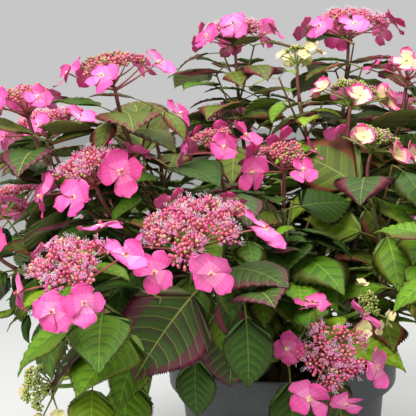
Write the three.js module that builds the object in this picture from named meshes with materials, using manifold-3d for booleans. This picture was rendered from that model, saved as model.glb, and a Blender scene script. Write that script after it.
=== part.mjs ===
// A lacecap hydrangea in a round plastic nursery pot: woody canes that rise from the soil,
// boughs that fork from them, and leafy flowering shoots that make up the crown.
// Millimetres, +Z up. The origin is the centre of the pot's underside, and the shown side faces -Y.
// Azimuths are in degrees from +X towards +Y.

import * as THREE from "three";
import { mergeVertices } from "three/addons/utils/BufferGeometryUtils.js";
import Module from "manifold-3d";

const wasm = await Module();
wasm.setup();

// Driving dimensions

const pot = {
  height: 225,
  rimRadius: 143,
  collarDepth: 36,
  collarDraft: 3,
  shoulderDrop: 13,
  bodyRadius: 125,
  footRadius: 108,
  wall: 3,
  floor: 4,
  sides: 32,
};
const soil = { belowRim: 28, fit: 0.3 };
const touch = 0.3; // gap between solids that meet

// The canes stand in a ring round the middle of the pot. Each shoot grows from the nearest one.
const cane = {
  azimuths: [270, 247, 227, 195, 155, 105, 52, 8, 325],
  ringRadii: [56, 36], // by turns
  lean: 14,
  baseRadius: 5.2,
  tipRadius: 3.6,
  flare: 1.7,
  flareHeight: 11,
  sides: 7,
};
const bough = {
  baseRadius: 3.6,
  tipRadius: 3,
  sides: 5,
  shortest: 24,
  forkShares: [0.86, 0.62, 0.4], // where boughs leave their cane, the highest first
};
const limbSpacing = 55; // between the rings of corners along a limb
const twig = { radius: 3.1, tipRadius: 2.4, sides: 3 };

// Flower heads that the front of the plant shows: where the disc's centre stands, its radius,
// and for one head the turn of its leaf pairs.
const shownHeads = [
  { name: "centre", azimuth: 249, reach: 277, height: 415, disc: 50, stage: "open", phase: 55 },
  { name: "lower_left", azimuth: 238, reach: 395, height: 397, disc: 36, stage: "open" },
  { name: "lower_front", azimuth: 278, reach: 245, height: 283, disc: 35, stage: "open" },
  { name: "left", azimuth: 223, reach: 280, height: 474, disc: 39, stage: "open" },
  { name: "upper_left", azimuth: 213, reach: 220, height: 577, disc: 35, stage: "bud" },
  { name: "inner_left", azimuth: 237, reach: 140, height: 495, disc: 22, stage: "bud" },
  { name: "inner_front", azimuth: 272, reach: 90, height: 473, disc: 27, stage: "bud" },
  { name: "top_right", azimuth: 55, reach: 206, height: 636, disc: 48, stage: "open" },
  { name: "top_left", azimuth: 100, reach: 223, height: 634, disc: 41, stage: "open" },
  { name: "right", azimuth: 346, reach: 121, height: 486, disc: 31, stage: "young" },
  { name: "upper_right", azimuth: 21, reach: 109, height: 545, disc: 28, stage: "young" },
  { name: "far_right", azimuth: 25, reach: 200, height: 572, disc: 28, stage: "bud" },
  { name: "low_left", azimuth: 227, reach: 373, height: 271, disc: 21, stage: "green" },
  { name: "far_left", azimuth: 205, reach: 308, height: 547, disc: 28, stage: "bud" },
  { name: "shaded", azimuth: 178, reach: 152, height: 514, disc: 25, stage: "bud" },
  { name: "top_middle", azimuth: 66, reach: 93, height: 596, disc: 14, stage: "green" },
  { name: "right_front", azimuth: 296, reach: 188, height: 316, disc: 14, stage: "green" },
];
// The rest of the crown: two rings of heads round the sides and the back.
const headRings = [
  { name: "skirt", count: 8, first: 309, step: 35.5, reach: 372, height: 392, disc: 40 },
  { name: "shoulder", count: 4, first: 350, step: 58, reach: 292, height: 512, disc: 38 },
];
const ringJitter = { azimuth: 5, reach: 14, height: 22, disc: 5 };
const headLean = { least: 6, more: 60, topHeight: 640, fall: 350 };
const raysRise = 24; // from the peduncle's top to the disc

const florets = {
  open: { count: 6, radius: 21 },
  bud: { count: 5, radius: 19 },
  young: { count: 4, radius: 16 },
  green: { count: 3, radius: 9 },
};
const floretPose = { gap: 0.5, drop: 7, outward: 0.85, upward: 0.6, thickness: 1.8, stalk: 1.1 };
const corymb = { sides: 8, start: 0.3, under: 6, over: 0.3, neck: 1.8, root: 0.6 };

// Leaf pairs, from the head downwards
const pairs = {
  peduncle: 48,
  internode: 57,
  offset: 2.3, // between the two leaves of a pair
  most: 4,
  shortShoot: 300,
  stub: 14,
  blades: [88, 104, 102, 88],
  bladeJitter: 10,
};
const leafForm = {
  petiole: [17, 25],
  halfWidth: [0.29, 0.34],
  widest: 0.42,
  spread: [52, 64],
  pitch: [-48, 34],
  hang: 26, // how much lower the leaves of the lowest heads point
  droop: [38, 74],
  roll: 16,
  outwardPull: 0.3,
  thickness: 1.6,
};
const sideTwig = { length: [50, 75], axil: 5, spread: 46, swing: 30, rise: 0.3, blade: 72 };
const youngShare = 0.72; // size of the leaves under a green head
const leftOut = { skirt_6: 3 }; // the one leaf that would spoil a shoot's solid

// Room that a leaf or floret keeps from all else, and what it tries to find it
const clearance = { leaf: 9.5, floret: 6, twig: 9 };
const tries = {
  sizes: [1, 0.84, 0.7],
  turns: [0, 18, -18, 36, -36, 54, -54, 72, -72],
  dips: [0, -15, 15, 30],
};

// Small tools

const radians = Math.PI / 180;
const up = new THREE.Vector3(0, 0, 1);
const soilTop = pot.height - soil.belowRim;
const clamp = THREE.MathUtils.clamp;

function polar(azimuth, reach, height) {
  const turn = azimuth * radians;
  return new THREE.Vector3(reach * Math.cos(turn), reach * Math.sin(turn), height);
}

function leaning(azimuth, lean) {
  return polar(azimuth, Math.sin(lean * radians), Math.cos(lean * radians));
}

// Park-Miller draws: the same seed always gives the same plant.
function drawsFrom(seed) {
  let state = seed;
  return (low, high) => {
    state = (state * 48271) % 2147483647;
    return low + (high - low) * (state / 2147483647);
  };
}

// A stem's centreline, measured along its length.
function stemPath(start, startAim, end, endAim) {
  const steps = 40;
  const span = start.distanceTo(end);
  const curve = new THREE.CubicBezierCurve3(
    start,
    start.clone().addScaledVector(startAim, span * 0.36),
    end.clone().addScaledVector(endAim, -span * 0.34),
    end,
  );
  const marks = [0];
  for (let i = 1; i <= steps; i++)
    marks.push(marks[i - 1] + curve.getPoint(i / steps).distanceTo(curve.getPoint((i - 1) / steps)));
  return {
    length: marks[steps],
    at(distance) {
      let i = 0;
      while (i < steps - 1 && marks[i + 1] < distance) i++;
      const t = (i + (distance - marks[i]) / (marks[i + 1] - marks[i])) / steps;
      return { point: curve.getPoint(t), aim: curve.getTangent(t) };
    },
  };
}

// Two directions square to a stem's aim: across its plane of lean, and outwards.
function squareTo(aim, outward) {
  const across = outward.clone().cross(aim).normalize();
  return [across, aim.clone().cross(across)];
}

// One direction turned towards another that is square to it.
function turned(from, to, angle) {
  return from.clone().multiplyScalar(Math.cos(angle)).addScaledVector(to, Math.sin(angle));
}

// Growth rule: where every stem, leaf and flower head goes

function headPlaces() {
  const heads = shownHeads.map((head) => ({ ...head }));
  const draw = drawsFrom(4711);
  for (const ring of headRings)
    for (let i = 0; i < ring.count; i++)
      heads.push({
        name: `${ring.name}_${i + 1}`,
        azimuth: (ring.first + i * ring.step + draw(-1, 1) * ringJitter.azimuth) % 360,
        reach: ring.reach + draw(-1, 1) * ringJitter.reach,
        height: ring.height + draw(-1, 1) * ringJitter.height,
        disc: ring.disc + draw(-1, 1) * ringJitter.disc,
        stage: i % 3 === 1 ? "bud" : "open",
      });
  return heads;
}

function apart(a, b) {
  const turn = Math.abs(a - b) % 360;
  return Math.min(turn, 360 - turn);
}

function makeShoot(head, index) {
  const fall = Math.max(0, (headLean.topHeight - head.height) / headLean.fall);
  const axis = leaning(head.azimuth, headLean.least + headLean.more * fall ** 2);
  const centre = polar(head.azimuth, head.reach, head.height);
  const draw = drawsFrom(1000 + 77 * index);
  return {
    phase: draw(0, 180),
    ...head,
    fall,
    axis,
    centre,
    draw,
    outward: polar(head.azimuth, 1, 0),
    node: centre.clone().addScaledVector(axis, -raysRise),
    turn: draw(0, 360),
    caneNumber: cane.azimuths.reduce(
      (best, azimuth, i) =>
        apart(azimuth, head.azimuth) < apart(cane.azimuths[best], head.azimuth) ? i : best,
      0,
    ),
    leaves: [],
    twigs: [],
    florets: [],
  };
}

// How much of a stem's end belongs to the leafy shoot.
function leafyLength(path) {
  const count = path.length < pairs.shortShoot ? pairs.most - 1 : pairs.most;
  return pairs.peduncle + (count - 1) * pairs.internode + pairs.stub;
}

// The tallest shoot of a cane continues it. The others fork from it, the highest first.
function growLimbs(shoots) {
  return cane.azimuths.map((azimuth, number) => {
    const own = shoots
      .filter((shoot) => shoot.caneNumber === number)
      .sort((a, b) => b.height - a.height);
    const [leader, ...others] = own;
    const foot = polar(azimuth, cane.ringRadii[number % 2], soilTop + touch);
    leader.path = stemPath(foot, leaning(azimuth, cane.lean), leader.node, leader.axis);
    leader.start = leader.path.length - leafyLength(leader.path);
    const limb = { number, leader, others, path: leader.path, length: leader.start - touch };
    others.forEach((shoot, i) => {
      const fork = leader.path.at(limb.length * bough.forkShares[i]);
      const toHead = shoot.node.clone().sub(fork.point).normalize();
      const aim = fork.aim.clone().multiplyScalar(0.45).add(toHead).normalize();
      shoot.path = stemPath(fork.point, aim, shoot.node, shoot.axis);
      shoot.start = Math.max(bough.shortest, shoot.path.length - leafyLength(shoot.path));
    });
    return limb;
  });
}

// Points that stand for what is already there.
const taken = [];

function take(points) {
  for (const point of points) taken.push(point);
}

function clearOfPot(point, gap) {
  const radius = Math.hypot(point.x, point.y);
  if (radius < pot.rimRadius - pot.wall - gap) return point.z > soilTop + gap;
  if (radius < pot.rimRadius + gap) return point.z > pot.height + gap;
  return point.z > gap;
}

function isClear(points, gap) {
  if (!points.every((point) => clearOfPot(point, gap))) return false;
  const middle = points[Math.floor(points.length / 2)];
  const reach = Math.max(...points.map((point) => point.distanceTo(middle))) + gap;
  const near = taken.filter((other) => other.distanceToSquared(middle) < reach * reach);
  return near.every((other) => points.every((point) => point.distanceToSquared(other) >= gap * gap));
}

// A leaf's midrib is an arc in an upright plane: it starts at a pitch and droops along its length.
function leafAt(leaf, distance) {
  const bend = (leaf.droop * radians) / (leaf.petiole + leaf.blade);
  const first = leaf.pitch * radians;
  const pitch = first - bend * distance;
  const ahead = polar(leaf.heading, 1, 0);
  const point = leaf.root
    .clone()
    .addScaledVector(ahead, (Math.sin(first) - Math.sin(pitch)) / bend)
    .addScaledVector(up, (Math.cos(pitch) - Math.cos(first)) / bend);
  const flatNormal = turned(up, ahead, -pitch);
  const flatSide = turned(ahead, up, pitch).cross(flatNormal);
  const roll = leaf.roll * radians;
  return {
    point,
    side: turned(flatSide, flatNormal, roll),
    normal: turned(flatNormal, flatSide, -roll),
  };
}

// Half the blade's width at a share of its length: round below, drawn out to a fine tip.
function bladeHalfWidth(leaf, share) {
  return leaf.halfWidth * Math.sin(Math.PI * share ** 0.8) ** (0.75 + 0.6 * share);
}

function leafPoints(leaf) {
  const points = [leafAt(leaf, leaf.petiole * 0.75).point];
  for (const share of [0.06, 0.18, 0.3, 0.42, 0.54, 0.66, 0.78, 0.9, 1]) {
    const { point, side } = leafAt(leaf, leaf.petiole + share * leaf.blade);
    for (const across of [-1, -0.67, -0.33, 0, 0.33, 0.67, 1])
      points.push(point.clone().addScaledVector(side, across * bladeHalfWidth(leaf, share)));
  }
  return points;
}

function firstClear(candidates, pointsOf, gap) {
  for (const candidate of candidates) {
    const points = pointsOf(candidate);
    if (isClear(points, gap)) {
      take(points);
      return candidate;
    }
  }
  return null;
}

function* leafCandidates(leaf) {
  for (const size of tries.sizes)
    for (const dip of tries.dips)
      for (const turn of tries.turns)
        yield {
          ...leaf,
          petiole: leaf.petiole * size,
          blade: leaf.blade * size,
          halfWidth: leaf.halfWidth * size,
          heading: leaf.heading + turn,
          pitch: leaf.pitch + dip,
        };
}

function growLeaf(shoot, place, sideways, blade, rank) {
  const { draw } = shoot;
  const aim = turned(place.aim, sideways, draw(...leafForm.spread) * radians);
  const flat = new THREE.Vector3(aim.x, aim.y, 0);
  const fromAxis = new THREE.Vector3(place.point.x, place.point.y, 0).normalize();
  flat.addScaledVector(fromAxis, leafForm.outwardPull);
  const length = (blade + draw(-1, 1) * pairs.bladeJitter) * (shoot.stage === "green" ? youngShare : 1);
  const rise = Math.asin(clamp(aim.z, -1, 1)) / radians - leafForm.hang * shoot.fall;
  const leaf = firstClear(
    leafCandidates({
      root: place.point,
      rank,
      heading: Math.atan2(flat.y, flat.x) / radians + draw(-9, 9),
      pitch: clamp(rise, ...leafForm.pitch),
      droop: draw(...leafForm.droop),
      roll: draw(-1, 1) * leafForm.roll,
      petiole: draw(...leafForm.petiole),
      blade: length,
      halfWidth: length * draw(...leafForm.halfWidth),
    }),
    leafPoints,
    clearance.leaf,
  );
  if (leaf) shoot.leaves.push(leaf);
}

function pathPoints(path, from, to, spacing) {
  const count = Math.max(2, Math.ceil((to - from) / spacing));
  return Array.from({ length: count + 1 }, (_, i) => path.at(from + ((to - from) * i) / count).point);
}

// Points round a middle, in the plane of two directions.
function roundAbout(middle, across, away, radius, count, start = 0) {
  return Array.from({ length: count }, (_, i) =>
    middle.clone().addScaledVector(turned(across, away, start + (i / count) * 2 * Math.PI), radius),
  );
}

function discPoints({ axis, outward, centre, disc }) {
  const [across, away] = squareTo(axis, outward);
  const lift = (rise) => centre.clone().addScaledVector(axis, rise);
  return [
    lift(-raysRise * 0.67),
    lift(-raysRise * 0.33),
    lift(8),
    ...roundAbout(lift(-raysRise * 0.5), across, away, 0.5 * disc, 6),
    ...roundAbout(lift(6), across, away, 0.5 * disc, 6),
    ...roundAbout(centre, across, away, 0.95 * disc, 12),
  ];
}

function floretFrame(floret) {
  const side = up.clone().cross(floret.facing).normalize();
  return [side, floret.facing.clone().cross(side)];
}

function floretPoints(floret) {
  return [floret.centre, ...roundAbout(floret.centre, ...floretFrame(floret), floret.radius * 0.85, 8)];
}

// A ring of sterile florets round the disc, facing up and outwards.
function growFlorets(shoot) {
  const { draw, axis, centre, disc } = shoot;
  const { count, radius } = florets[shoot.stage];
  const [across, outward] = squareTo(axis, shoot.outward);
  for (let i = 0; i < count; i++) {
    const size = radius * draw(0.84, 1.16);
    const turn = shoot.turn + ((i + draw(-0.22, 0.22)) / count) * 360;
    const reach = disc + size * floretPose.gap + draw(2, 9);
    const drop = floretPose.drop + draw(-7, 7);
    const tip = [draw(-0.35, 0.35), draw(-0.35, 0.35)];
    const spin = draw(0, 90);
    const candidates = [0, 11, -11, 22, -22].map((shift) => {
      const away = turned(across, outward, (turn + shift) * radians);
      const facing = away
        .clone()
        .multiplyScalar(floretPose.outward)
        .addScaledVector(axis, floretPose.upward + tip[0])
        .addScaledVector(axis.clone().cross(away), tip[1])
        .normalize();
      const middle = centre.clone().addScaledVector(away, reach).addScaledVector(axis, -drop);
      return { centre: middle, facing, away, spin, radius: size };
    });
    const floret = firstClear(candidates, floretPoints, clearance.floret);
    if (floret) shoot.florets.push(floret);
  }
}

// Opposite pairs of leaves, each pair a quarter turn round from the one above.
function leafPlace(shoot, rank, side) {
  const distance = shoot.path.length - pairs.peduncle - rank * pairs.internode + pairs.offset * side;
  const place = shoot.path.at(distance);
  const [across, outward] = squareTo(place.aim, shoot.outward);
  const sideways = turned(across, outward, (shoot.phase + 90 * rank + 180 * side) * radians);
  return { place, sideways, inShoot: distance > shoot.start + 5 };
}

// A short twig from the axil of a low leaf, with a pair of leaves at its end. It is bare of all
// else, so it only grows where at least one of its leaves finds room.
function growSideTwig(shoot, rank, side) {
  const { draw } = shoot;
  const { place, sideways, inShoot } = leafPlace(shoot, rank, side);
  const length = draw(...sideTwig.length);
  const swing = draw(-1, 1) * sideTwig.swing * radians;
  if (!inShoot) return false;
  const swung = sideways.clone().applyAxisAngle(place.aim, swing);
  const aim = turned(place.aim, swung, sideTwig.spread * radians);
  aim.addScaledVector(up, sideTwig.rise).normalize();
  const root = place.point.clone().addScaledVector(place.aim, sideTwig.axil);
  const path = stemPath(root, aim, root.clone().addScaledVector(aim, length), aim);
  if (!isClear(pathPoints(path, 16, length, 8), clearance.twig)) return false;
  take(pathPoints(path, 8, length, 8));
  const before = shoot.leaves.length;
  for (const sign of [1, -1]) {
    const spot = path.at(length - 3.5 + sign);
    const [across] = squareTo(spot.aim, shoot.outward);
    growLeaf(shoot, spot, across.multiplyScalar(sign), sideTwig.blade, rank);
  }
  if (shoot.leaves.length === before) return false;
  shoot.twigs.push({ path, length });
  return true;
}

function growPlant() {
  const shoots = headPlaces().map(makeShoot);
  const limbs = growLimbs(shoots);
  for (const limb of limbs) take(pathPoints(limb.path, 0, limb.length, 8));
  for (const shoot of shoots) take(pathPoints(shoot.path, 14, shoot.path.length, 8));
  for (const shoot of shoots) take(discPoints(shoot));
  for (const shoot of shoots) growFlorets(shoot);
  for (let rank = 0; rank < pairs.most; rank++)
    for (const shoot of shoots)
      for (const side of [0, 1]) {
        const { place, sideways, inShoot } = leafPlace(shoot, rank, side);
        if (inShoot) growLeaf(shoot, place, sideways, pairs.blades[rank], rank);
      }
  for (const shoot of shoots)
    for (let rank = pairs.most - 1; rank > 0; rank--)
      if (growSideTwig(shoot, rank, 0) || growSideTwig(shoot, rank, 1)) break;
  return { shoots, limbs };
}

// Solids

// A closed skin over rings of points in order, turning right-handed about the way they go.
// The first and the last ring may be a single point.
function skinOver(rings) {
  const corners = rings.flat();
  const starts = rings.map((_, i) => rings.slice(0, i).reduce((sum, ring) => sum + ring.length, 0));
  const count = Math.max(...rings.map((ring) => ring.length));
  const faces = [];
  const last = rings.length - 1;
  for (let r = 0; r < last; r++)
    for (let i = 0; i < count; i++) {
      const next = (i + 1) % count;
      const [a, b] = [starts[r], starts[r + 1]];
      if (rings[r].length === 1) faces.push([a, b + next, b + i]);
      else if (rings[r + 1].length === 1) faces.push([b, a + i, a + next]);
      else faces.push([a + i, a + next, b + next], [a + i, b + next, b + i]);
    }
  for (let i = 1; i < count - 1; i++) {
    if (rings[0].length > 1) faces.push([starts[0], starts[0] + i + 1, starts[0] + i]);
    if (rings[last].length > 1) faces.push([starts[last], starts[last] + i, starts[last] + i + 1]);
  }
  return new THREE.BufferGeometry()
    .setAttribute("position", new THREE.Float32BufferAttribute(corners.flatMap((p) => p.toArray()), 3))
    .setIndex(faces.flat());
}

function solidOf(geometry) {
  const bare = geometry.clone();
  bare.deleteAttribute("normal");
  bare.deleteAttribute("uv");
  const merged = mergeVertices(bare, 1e-4);
  return new wasm.Manifold(
    new wasm.Mesh({
      numProp: 3,
      vertProperties: merged.attributes.position.array,
      triVerts: new Uint32Array(merged.index.array),
    }),
  );
}

function geometryOf(solid) {
  const mesh = solid.getMesh();
  return new THREE.BufferGeometry()
    .setAttribute("position", new THREE.BufferAttribute(mesh.vertProperties, 3))
    .setIndex(new THREE.BufferAttribute(mesh.triVerts, 1));
}

// Solids fused into one, without edges too short to matter or loose scraps.
function joined(solids) {
  return largest(solids.reduce((sum, solid) => sum.add(solid)).simplify(0.02));
}

function largest(solid) {
  return solid.decompose().reduce((best, body) => (body.volume() > best.volume() ? body : best));
}

function ringAt(point, aim, outward, radius, sides, start = 0) {
  return roundAbout(point, ...squareTo(aim, outward), radius, sides, start);
}

// A tapering limb along part of a path.
function limbSkin(path, outward, stops, radiusAt, sides) {
  return skinOver(
    stops.map((distance) => {
      const { point, aim } = path.at(distance);
      return ringAt(point, aim, outward, radiusAt(distance), sides);
    }),
  );
}

function evenStops(from, to, spacing) {
  const count = Math.max(1, Math.round((to - from) / spacing));
  return Array.from({ length: count + 1 }, (_, i) => from + ((to - from) * i) / count);
}

function caneSkin(limb, extra) {
  const outward = polar(cane.azimuths[limb.number], 1, 0);
  const narrowing = (cane.baseRadius - cane.tipRadius) / limb.length;
  const taper = (distance) => cane.baseRadius - narrowing * distance;
  const radiusAt = (distance) => extra + (distance < 1 ? cane.baseRadius * cane.flare : taper(distance));
  const stops = [0, cane.flareHeight, ...evenStops(cane.flareHeight, limb.length, limbSpacing).slice(1)];
  const { path } = limb;
  // The foot is cut level with the soil.
  const rings = stops.map((distance) => {
    const { point, aim } = path.at(distance);
    return ringAt(point, distance < 1 ? up : aim, outward, radiusAt(distance), cane.sides);
  });
  return skinOver(rings);
}

function boughSolid(shoot, limb) {
  const length = shoot.start - touch;
  const narrowing = (bough.baseRadius - bough.tipRadius) / length;
  const radiusAt = (distance) => bough.baseRadius - narrowing * distance;
  const stops = evenStops(0, length, limbSpacing);
  const skin = limbSkin(shoot.path, shoot.outward, stops, radiusAt, bough.sides);
  return joined([solidOf(skin).subtract(solidOf(caneSkin(limb, 1.15 * touch)))]);
}

function leafSolid(leaf) {
  const section = (distance, halfWidth, thick) => {
    const { point, side, normal } = leafAt(leaf, distance);
    return [
      point.clone().addScaledVector(side, halfWidth),
      point.clone().addScaledVector(normal, -thick),
      point.clone().addScaledVector(side, -halfWidth),
    ];
  };
  const rings = [section(0.3, 1, 1)];
  if (leaf.rank < 1) rings.push(section(leaf.petiole, 2, leafForm.thickness));
  const widest = leaf.petiole + leafForm.widest * leaf.blade;
  rings.push(section(widest, leaf.halfWidth, leafForm.thickness));
  rings.push([leafAt(leaf, leaf.petiole + leaf.blade).point]);
  return solidOf(skinOver(rings));
}

// Four sepals on a ray. The rays leave the peduncle one above the other, under the disc.
function floretSolid(shoot, floret) {
  const cornersAt = (middle, radius) =>
    roundAbout(middle, ...floretFrame(floret), radius, 4, floret.spin * radians);
  const back = floret.centre.clone().addScaledVector(floret.facing, -floretPose.thickness);
  const root = shoot.centre.clone().addScaledVector(floret.away, shoot.disc * corymb.root);
  return solidOf(
    skinOver([
      cornersAt(root, floretPose.stalk),
      cornersAt(back, floretPose.stalk),
      cornersAt(floret.centre, floret.radius),
      [floret.centre.clone().addScaledVector(floret.facing, 0.4)],
    ]),
  );
}

// The disc of small fertile flowers on the end of the peduncle.
function discSolid({ axis, centre, disc, outward }) {
  const lift = (rise) => centre.clone().addScaledVector(axis, rise);
  const rim = ringAt(centre, axis, outward, disc, corymb.sides, corymb.start);
  return solidOf(skinOver([[lift(-corymb.under)], rim, [lift(disc * corymb.over)]]));
}

function shootSolid(shoot) {
  const { path, start } = shoot;
  const taper = (distance) =>
    twig.radius + (twig.tipRadius - twig.radius) * ((distance - start) / (path.length - start));
  const rings = evenStops(start, path.length, pairs.internode).map((distance) => {
    const { point, aim } = path.at(distance);
    return ringAt(point, aim, shoot.outward, taper(distance), twig.sides);
  });
  const neck = shoot.centre.clone().addScaledVector(shoot.axis, -corymb.under);
  rings.push(ringAt(neck, shoot.axis, shoot.outward, corymb.neck, twig.sides), [shoot.centre]);
  const stem = solidOf(skinOver(rings));
  const twigs = shoot.twigs.map(({ path: line, length }) =>
    solidOf(limbSkin(line, shoot.outward, [0, length], () => twig.tipRadius, twig.sides)),
  );
  const leaves = shoot.leaves.filter((_, i) => i !== leftOut[shoot.name]).map(leafSolid);
  const flowers = shoot.florets.map((floret) => floretSolid(shoot, floret));
  return joined([stem, ...twigs, ...leaves, discSolid(shoot), ...flowers]);
}

// A turned solid from its outline, as pairs of radius and height.
function latheOf(outline) {
  const points = outline.map(([radius, height]) => new THREE.Vector2(radius, height));
  return new THREE.LatheGeometry(points, pot.sides).rotateX(Math.PI / 2);
}

function potGeometry() {
  const { height, rimRadius, wall } = pot;
  const collarFoot = height - pot.collarDepth;
  const shoulder = collarFoot - pot.shoulderDrop;
  return latheOf([
    [0, 0],
    [pot.footRadius, 0],
    [pot.bodyRadius, shoulder],
    [rimRadius - pot.collarDraft, collarFoot],
    [rimRadius, height - 1],
    [rimRadius - 1, height],
    [rimRadius - wall, height],
    [rimRadius - pot.collarDraft - wall, collarFoot],
    [pot.bodyRadius - wall, shoulder],
    [pot.footRadius - wall, pot.floor],
    [0, pot.floor],
  ]);
}

function soilGeometry() {
  const collarFoot = pot.height - pot.collarDepth;
  const inside = pot.wall + soil.fit + 0.4;
  const share = (soilTop - collarFoot) / pot.collarDepth;
  return latheOf([
    [0, pot.floor + soil.fit],
    [pot.footRadius - inside - 0.6, pot.floor + soil.fit],
    [pot.bodyRadius - inside, collarFoot - pot.shoulderDrop],
    [pot.rimRadius - pot.collarDraft - inside, collarFoot],
    [pot.rimRadius - pot.collarDraft * (1 - share) - inside, soilTop],
    [0, soilTop],
  ]);
}

// The finished group

const colours = {
  pot: new THREE.MeshStandardMaterial({ color: 0x3c3e40, roughness: 0.6 }),
  soil: new THREE.MeshStandardMaterial({ color: 0x33231a, roughness: 0.95 }),
  bark: new THREE.MeshStandardMaterial({ color: 0x6b5233, roughness: 0.85 }),
  foliage: new THREE.MeshStandardMaterial({ color: 0x4f7d2a, roughness: 0.7 }),
};

function add(group, name, geometry, material) {
  const mesh = new THREE.Mesh(geometry, material);
  mesh.name = name;
  group.add(mesh);
}

const plant = new THREE.Group();
const { shoots, limbs } = growPlant();
add(plant, "pot", potGeometry(), colours.pot);
add(plant, "soil", soilGeometry(), colours.soil);
for (const limb of limbs) {
  add(plant, `cane_${limb.leader.name}`, caneSkin(limb, 0), colours.bark);
  for (const shoot of limb.others)
    add(plant, `bough_${shoot.name}`, geometryOf(boughSolid(shoot, limb)), colours.bark);
}
for (const shoot of shoots)
  add(plant, `foliage_${shoot.name}`, geometryOf(shootSolid(shoot)), colours.foliage);

export default plant;
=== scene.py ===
import math

import bpy
import numpy as np
from mathutils import Matrix, Vector


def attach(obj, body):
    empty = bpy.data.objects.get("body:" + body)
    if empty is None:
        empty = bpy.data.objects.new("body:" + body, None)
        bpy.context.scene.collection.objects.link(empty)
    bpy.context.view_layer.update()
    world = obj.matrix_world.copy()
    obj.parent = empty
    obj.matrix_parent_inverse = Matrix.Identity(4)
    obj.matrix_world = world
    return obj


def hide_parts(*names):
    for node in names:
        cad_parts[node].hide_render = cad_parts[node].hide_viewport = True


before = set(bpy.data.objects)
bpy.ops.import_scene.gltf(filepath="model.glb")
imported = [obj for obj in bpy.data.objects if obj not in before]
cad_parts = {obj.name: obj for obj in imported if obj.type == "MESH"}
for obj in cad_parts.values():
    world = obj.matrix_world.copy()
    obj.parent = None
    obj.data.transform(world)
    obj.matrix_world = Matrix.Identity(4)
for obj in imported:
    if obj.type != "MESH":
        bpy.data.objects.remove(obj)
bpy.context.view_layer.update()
print("frame loaded,", len(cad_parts), "nodes")

radians = math.pi / 180
upward = np.array([0.0, 0.0, 1.0])
metre = 0.001
# The turn from one twig or clump to the next, as plants space them.
goldenDegrees, goldenRadians = 137.5, 2.39996

potForm = {
    "height": 225, "rimRadius": 143, "collarDepth": 36, "collarDraft": 3, "shoulderDrop": 13,
    "bodyRadius": 125, "footRadius": 108, "wall": 3, "floor": 4, "soilBelowRim": 28,
}
soilTop = potForm["height"] - potForm["soilBelowRim"]

caneForm = {
    "azimuths": [270, 247, 227, 195, 155, 105, 52, 8, 325], "ringRadii": [56, 36], "lean": 14,
    "baseRadius": 5.2, "tipRadius": 3.6, "flare": 1.7, "gap": 0.3,
}
boughForm = {
    "baseRadius": 3.6, "tipRadius": 3.0, "shortest": 24, "forkShares": [0.86, 0.62, 0.4],
    "forkPull": 0.45,
}
shootForm = {"radius": 3.1, "tipRadius": 2.2}

# name, azimuth, reach and height of the disc's centre, its radius, stage, turn of the leaf pairs
shownHeads = [
    ("centre", 249, 277, 415, 50, "open", 55),
    ("lower_left", 238, 395, 397, 36, "open", None),
    ("lower_front", 278, 245, 283, 35, "open", None),
    ("left", 223, 280, 474, 39, "open", None),
    ("upper_left", 213, 220, 577, 35, "bud", None),
    ("inner_left", 237, 140, 495, 22, "bud", None),
    ("inner_front", 272, 90, 473, 27, "bud", None),
    ("top_right", 55, 206, 636, 48, "open", None),
    ("top_left", 100, 223, 634, 41, "open", None),
    ("right", 346, 121, 486, 31, "young", None),
    ("upper_right", 21, 109, 545, 28, "young", None),
    ("far_right", 25, 200, 572, 28, "bud", None),
    ("low_left", 227, 373, 271, 21, "green", None),
    ("far_left", 205, 308, 547, 28, "bud", None),
    ("shaded", 178, 152, 514, 25, "bud", None),
    ("top_middle", 66, 93, 596, 14, "green", None),
    ("right_front", 296, 188, 316, 14, "green", None),
]
# name, count, first azimuth, step, reach, height, disc
headRings = [
    ("skirt", 8, 309, 35.5, 372, 392, 40),
    ("shoulder", 4, 350, 58, 292, 512, 38),
]
ringJitter = {"azimuth": 5, "reach": 14, "height": 22, "disc": 5}
headLean = {"least": 6, "more": 60, "topHeight": 640, "fall": 350}
raysRise = 24

# Count and radius for each stage, then where a floret sits round its disc.
floretForm = {
    "open": (6, 21), "bud": (5, 19), "young": (4, 16), "green": (3, 9), "size": (0.84, 1.16),
    "gap": 0.5, "margin": (2, 9), "drop": 7, "outward": 0.85, "upward": 0.6, "tip": 0.35,
    "turnJitter": 0.22, "shifts": (0, 11, -11, 22, -22),
}
pairForm = {
    "peduncle": 48, "internode": 57, "offset": 2.3, "most": 4, "shortShoot": 300, "stub": 14,
    "blades": [88, 104, 102, 88], "bladeJitter": 10, "aboveFork": 5,
}
leafForm = {
    "petiole": (17, 25), "halfWidth": (0.29, 0.34), "spread": (52, 64), "pitch": (-48, 34),
    "hang": 26, "droop": (38, 74), "roll": 16, "outwardPull": 0.3, "headingJitter": 9,
    "young": 0.72,
}
sideTwigForm = {
    "length": (50, 75), "axil": 5, "spread": 46, "swing": 30, "rise": 0.3, "blade": 72,
    "clearFrom": 16, "pairBack": 3.5,
}
room = {"leaf": 9.5, "floret": 6, "twig": 9}
guardSpacing = 8
tries = {
    "sizes": [1, 0.84, 0.7], "turns": [0, 18, -18, 36, -36, 54, -54, 72, -72],
    "dips": [0, -15, 15, 30],
}
seeds = {"heads": 4711, "shoots": 1000, "shootStep": 77, "factor": 48271, "modulus": 2147483647}


def unit(vector):
    return vector / np.linalg.norm(vector)


def polar(azimuth, reach, height):
    turn = azimuth * radians
    return np.array([reach * math.cos(turn), reach * math.sin(turn), height])


def leaning(azimuth, lean):
    return polar(azimuth, math.sin(lean * radians), math.cos(lean * radians))


def drawsFrom(seed):
    state = [seed]

    def draw(low, high):
        state[0] = state[0] * seeds["factor"] % seeds["modulus"]
        return low + (high - low) * (state[0] / seeds["modulus"])

    return draw


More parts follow.
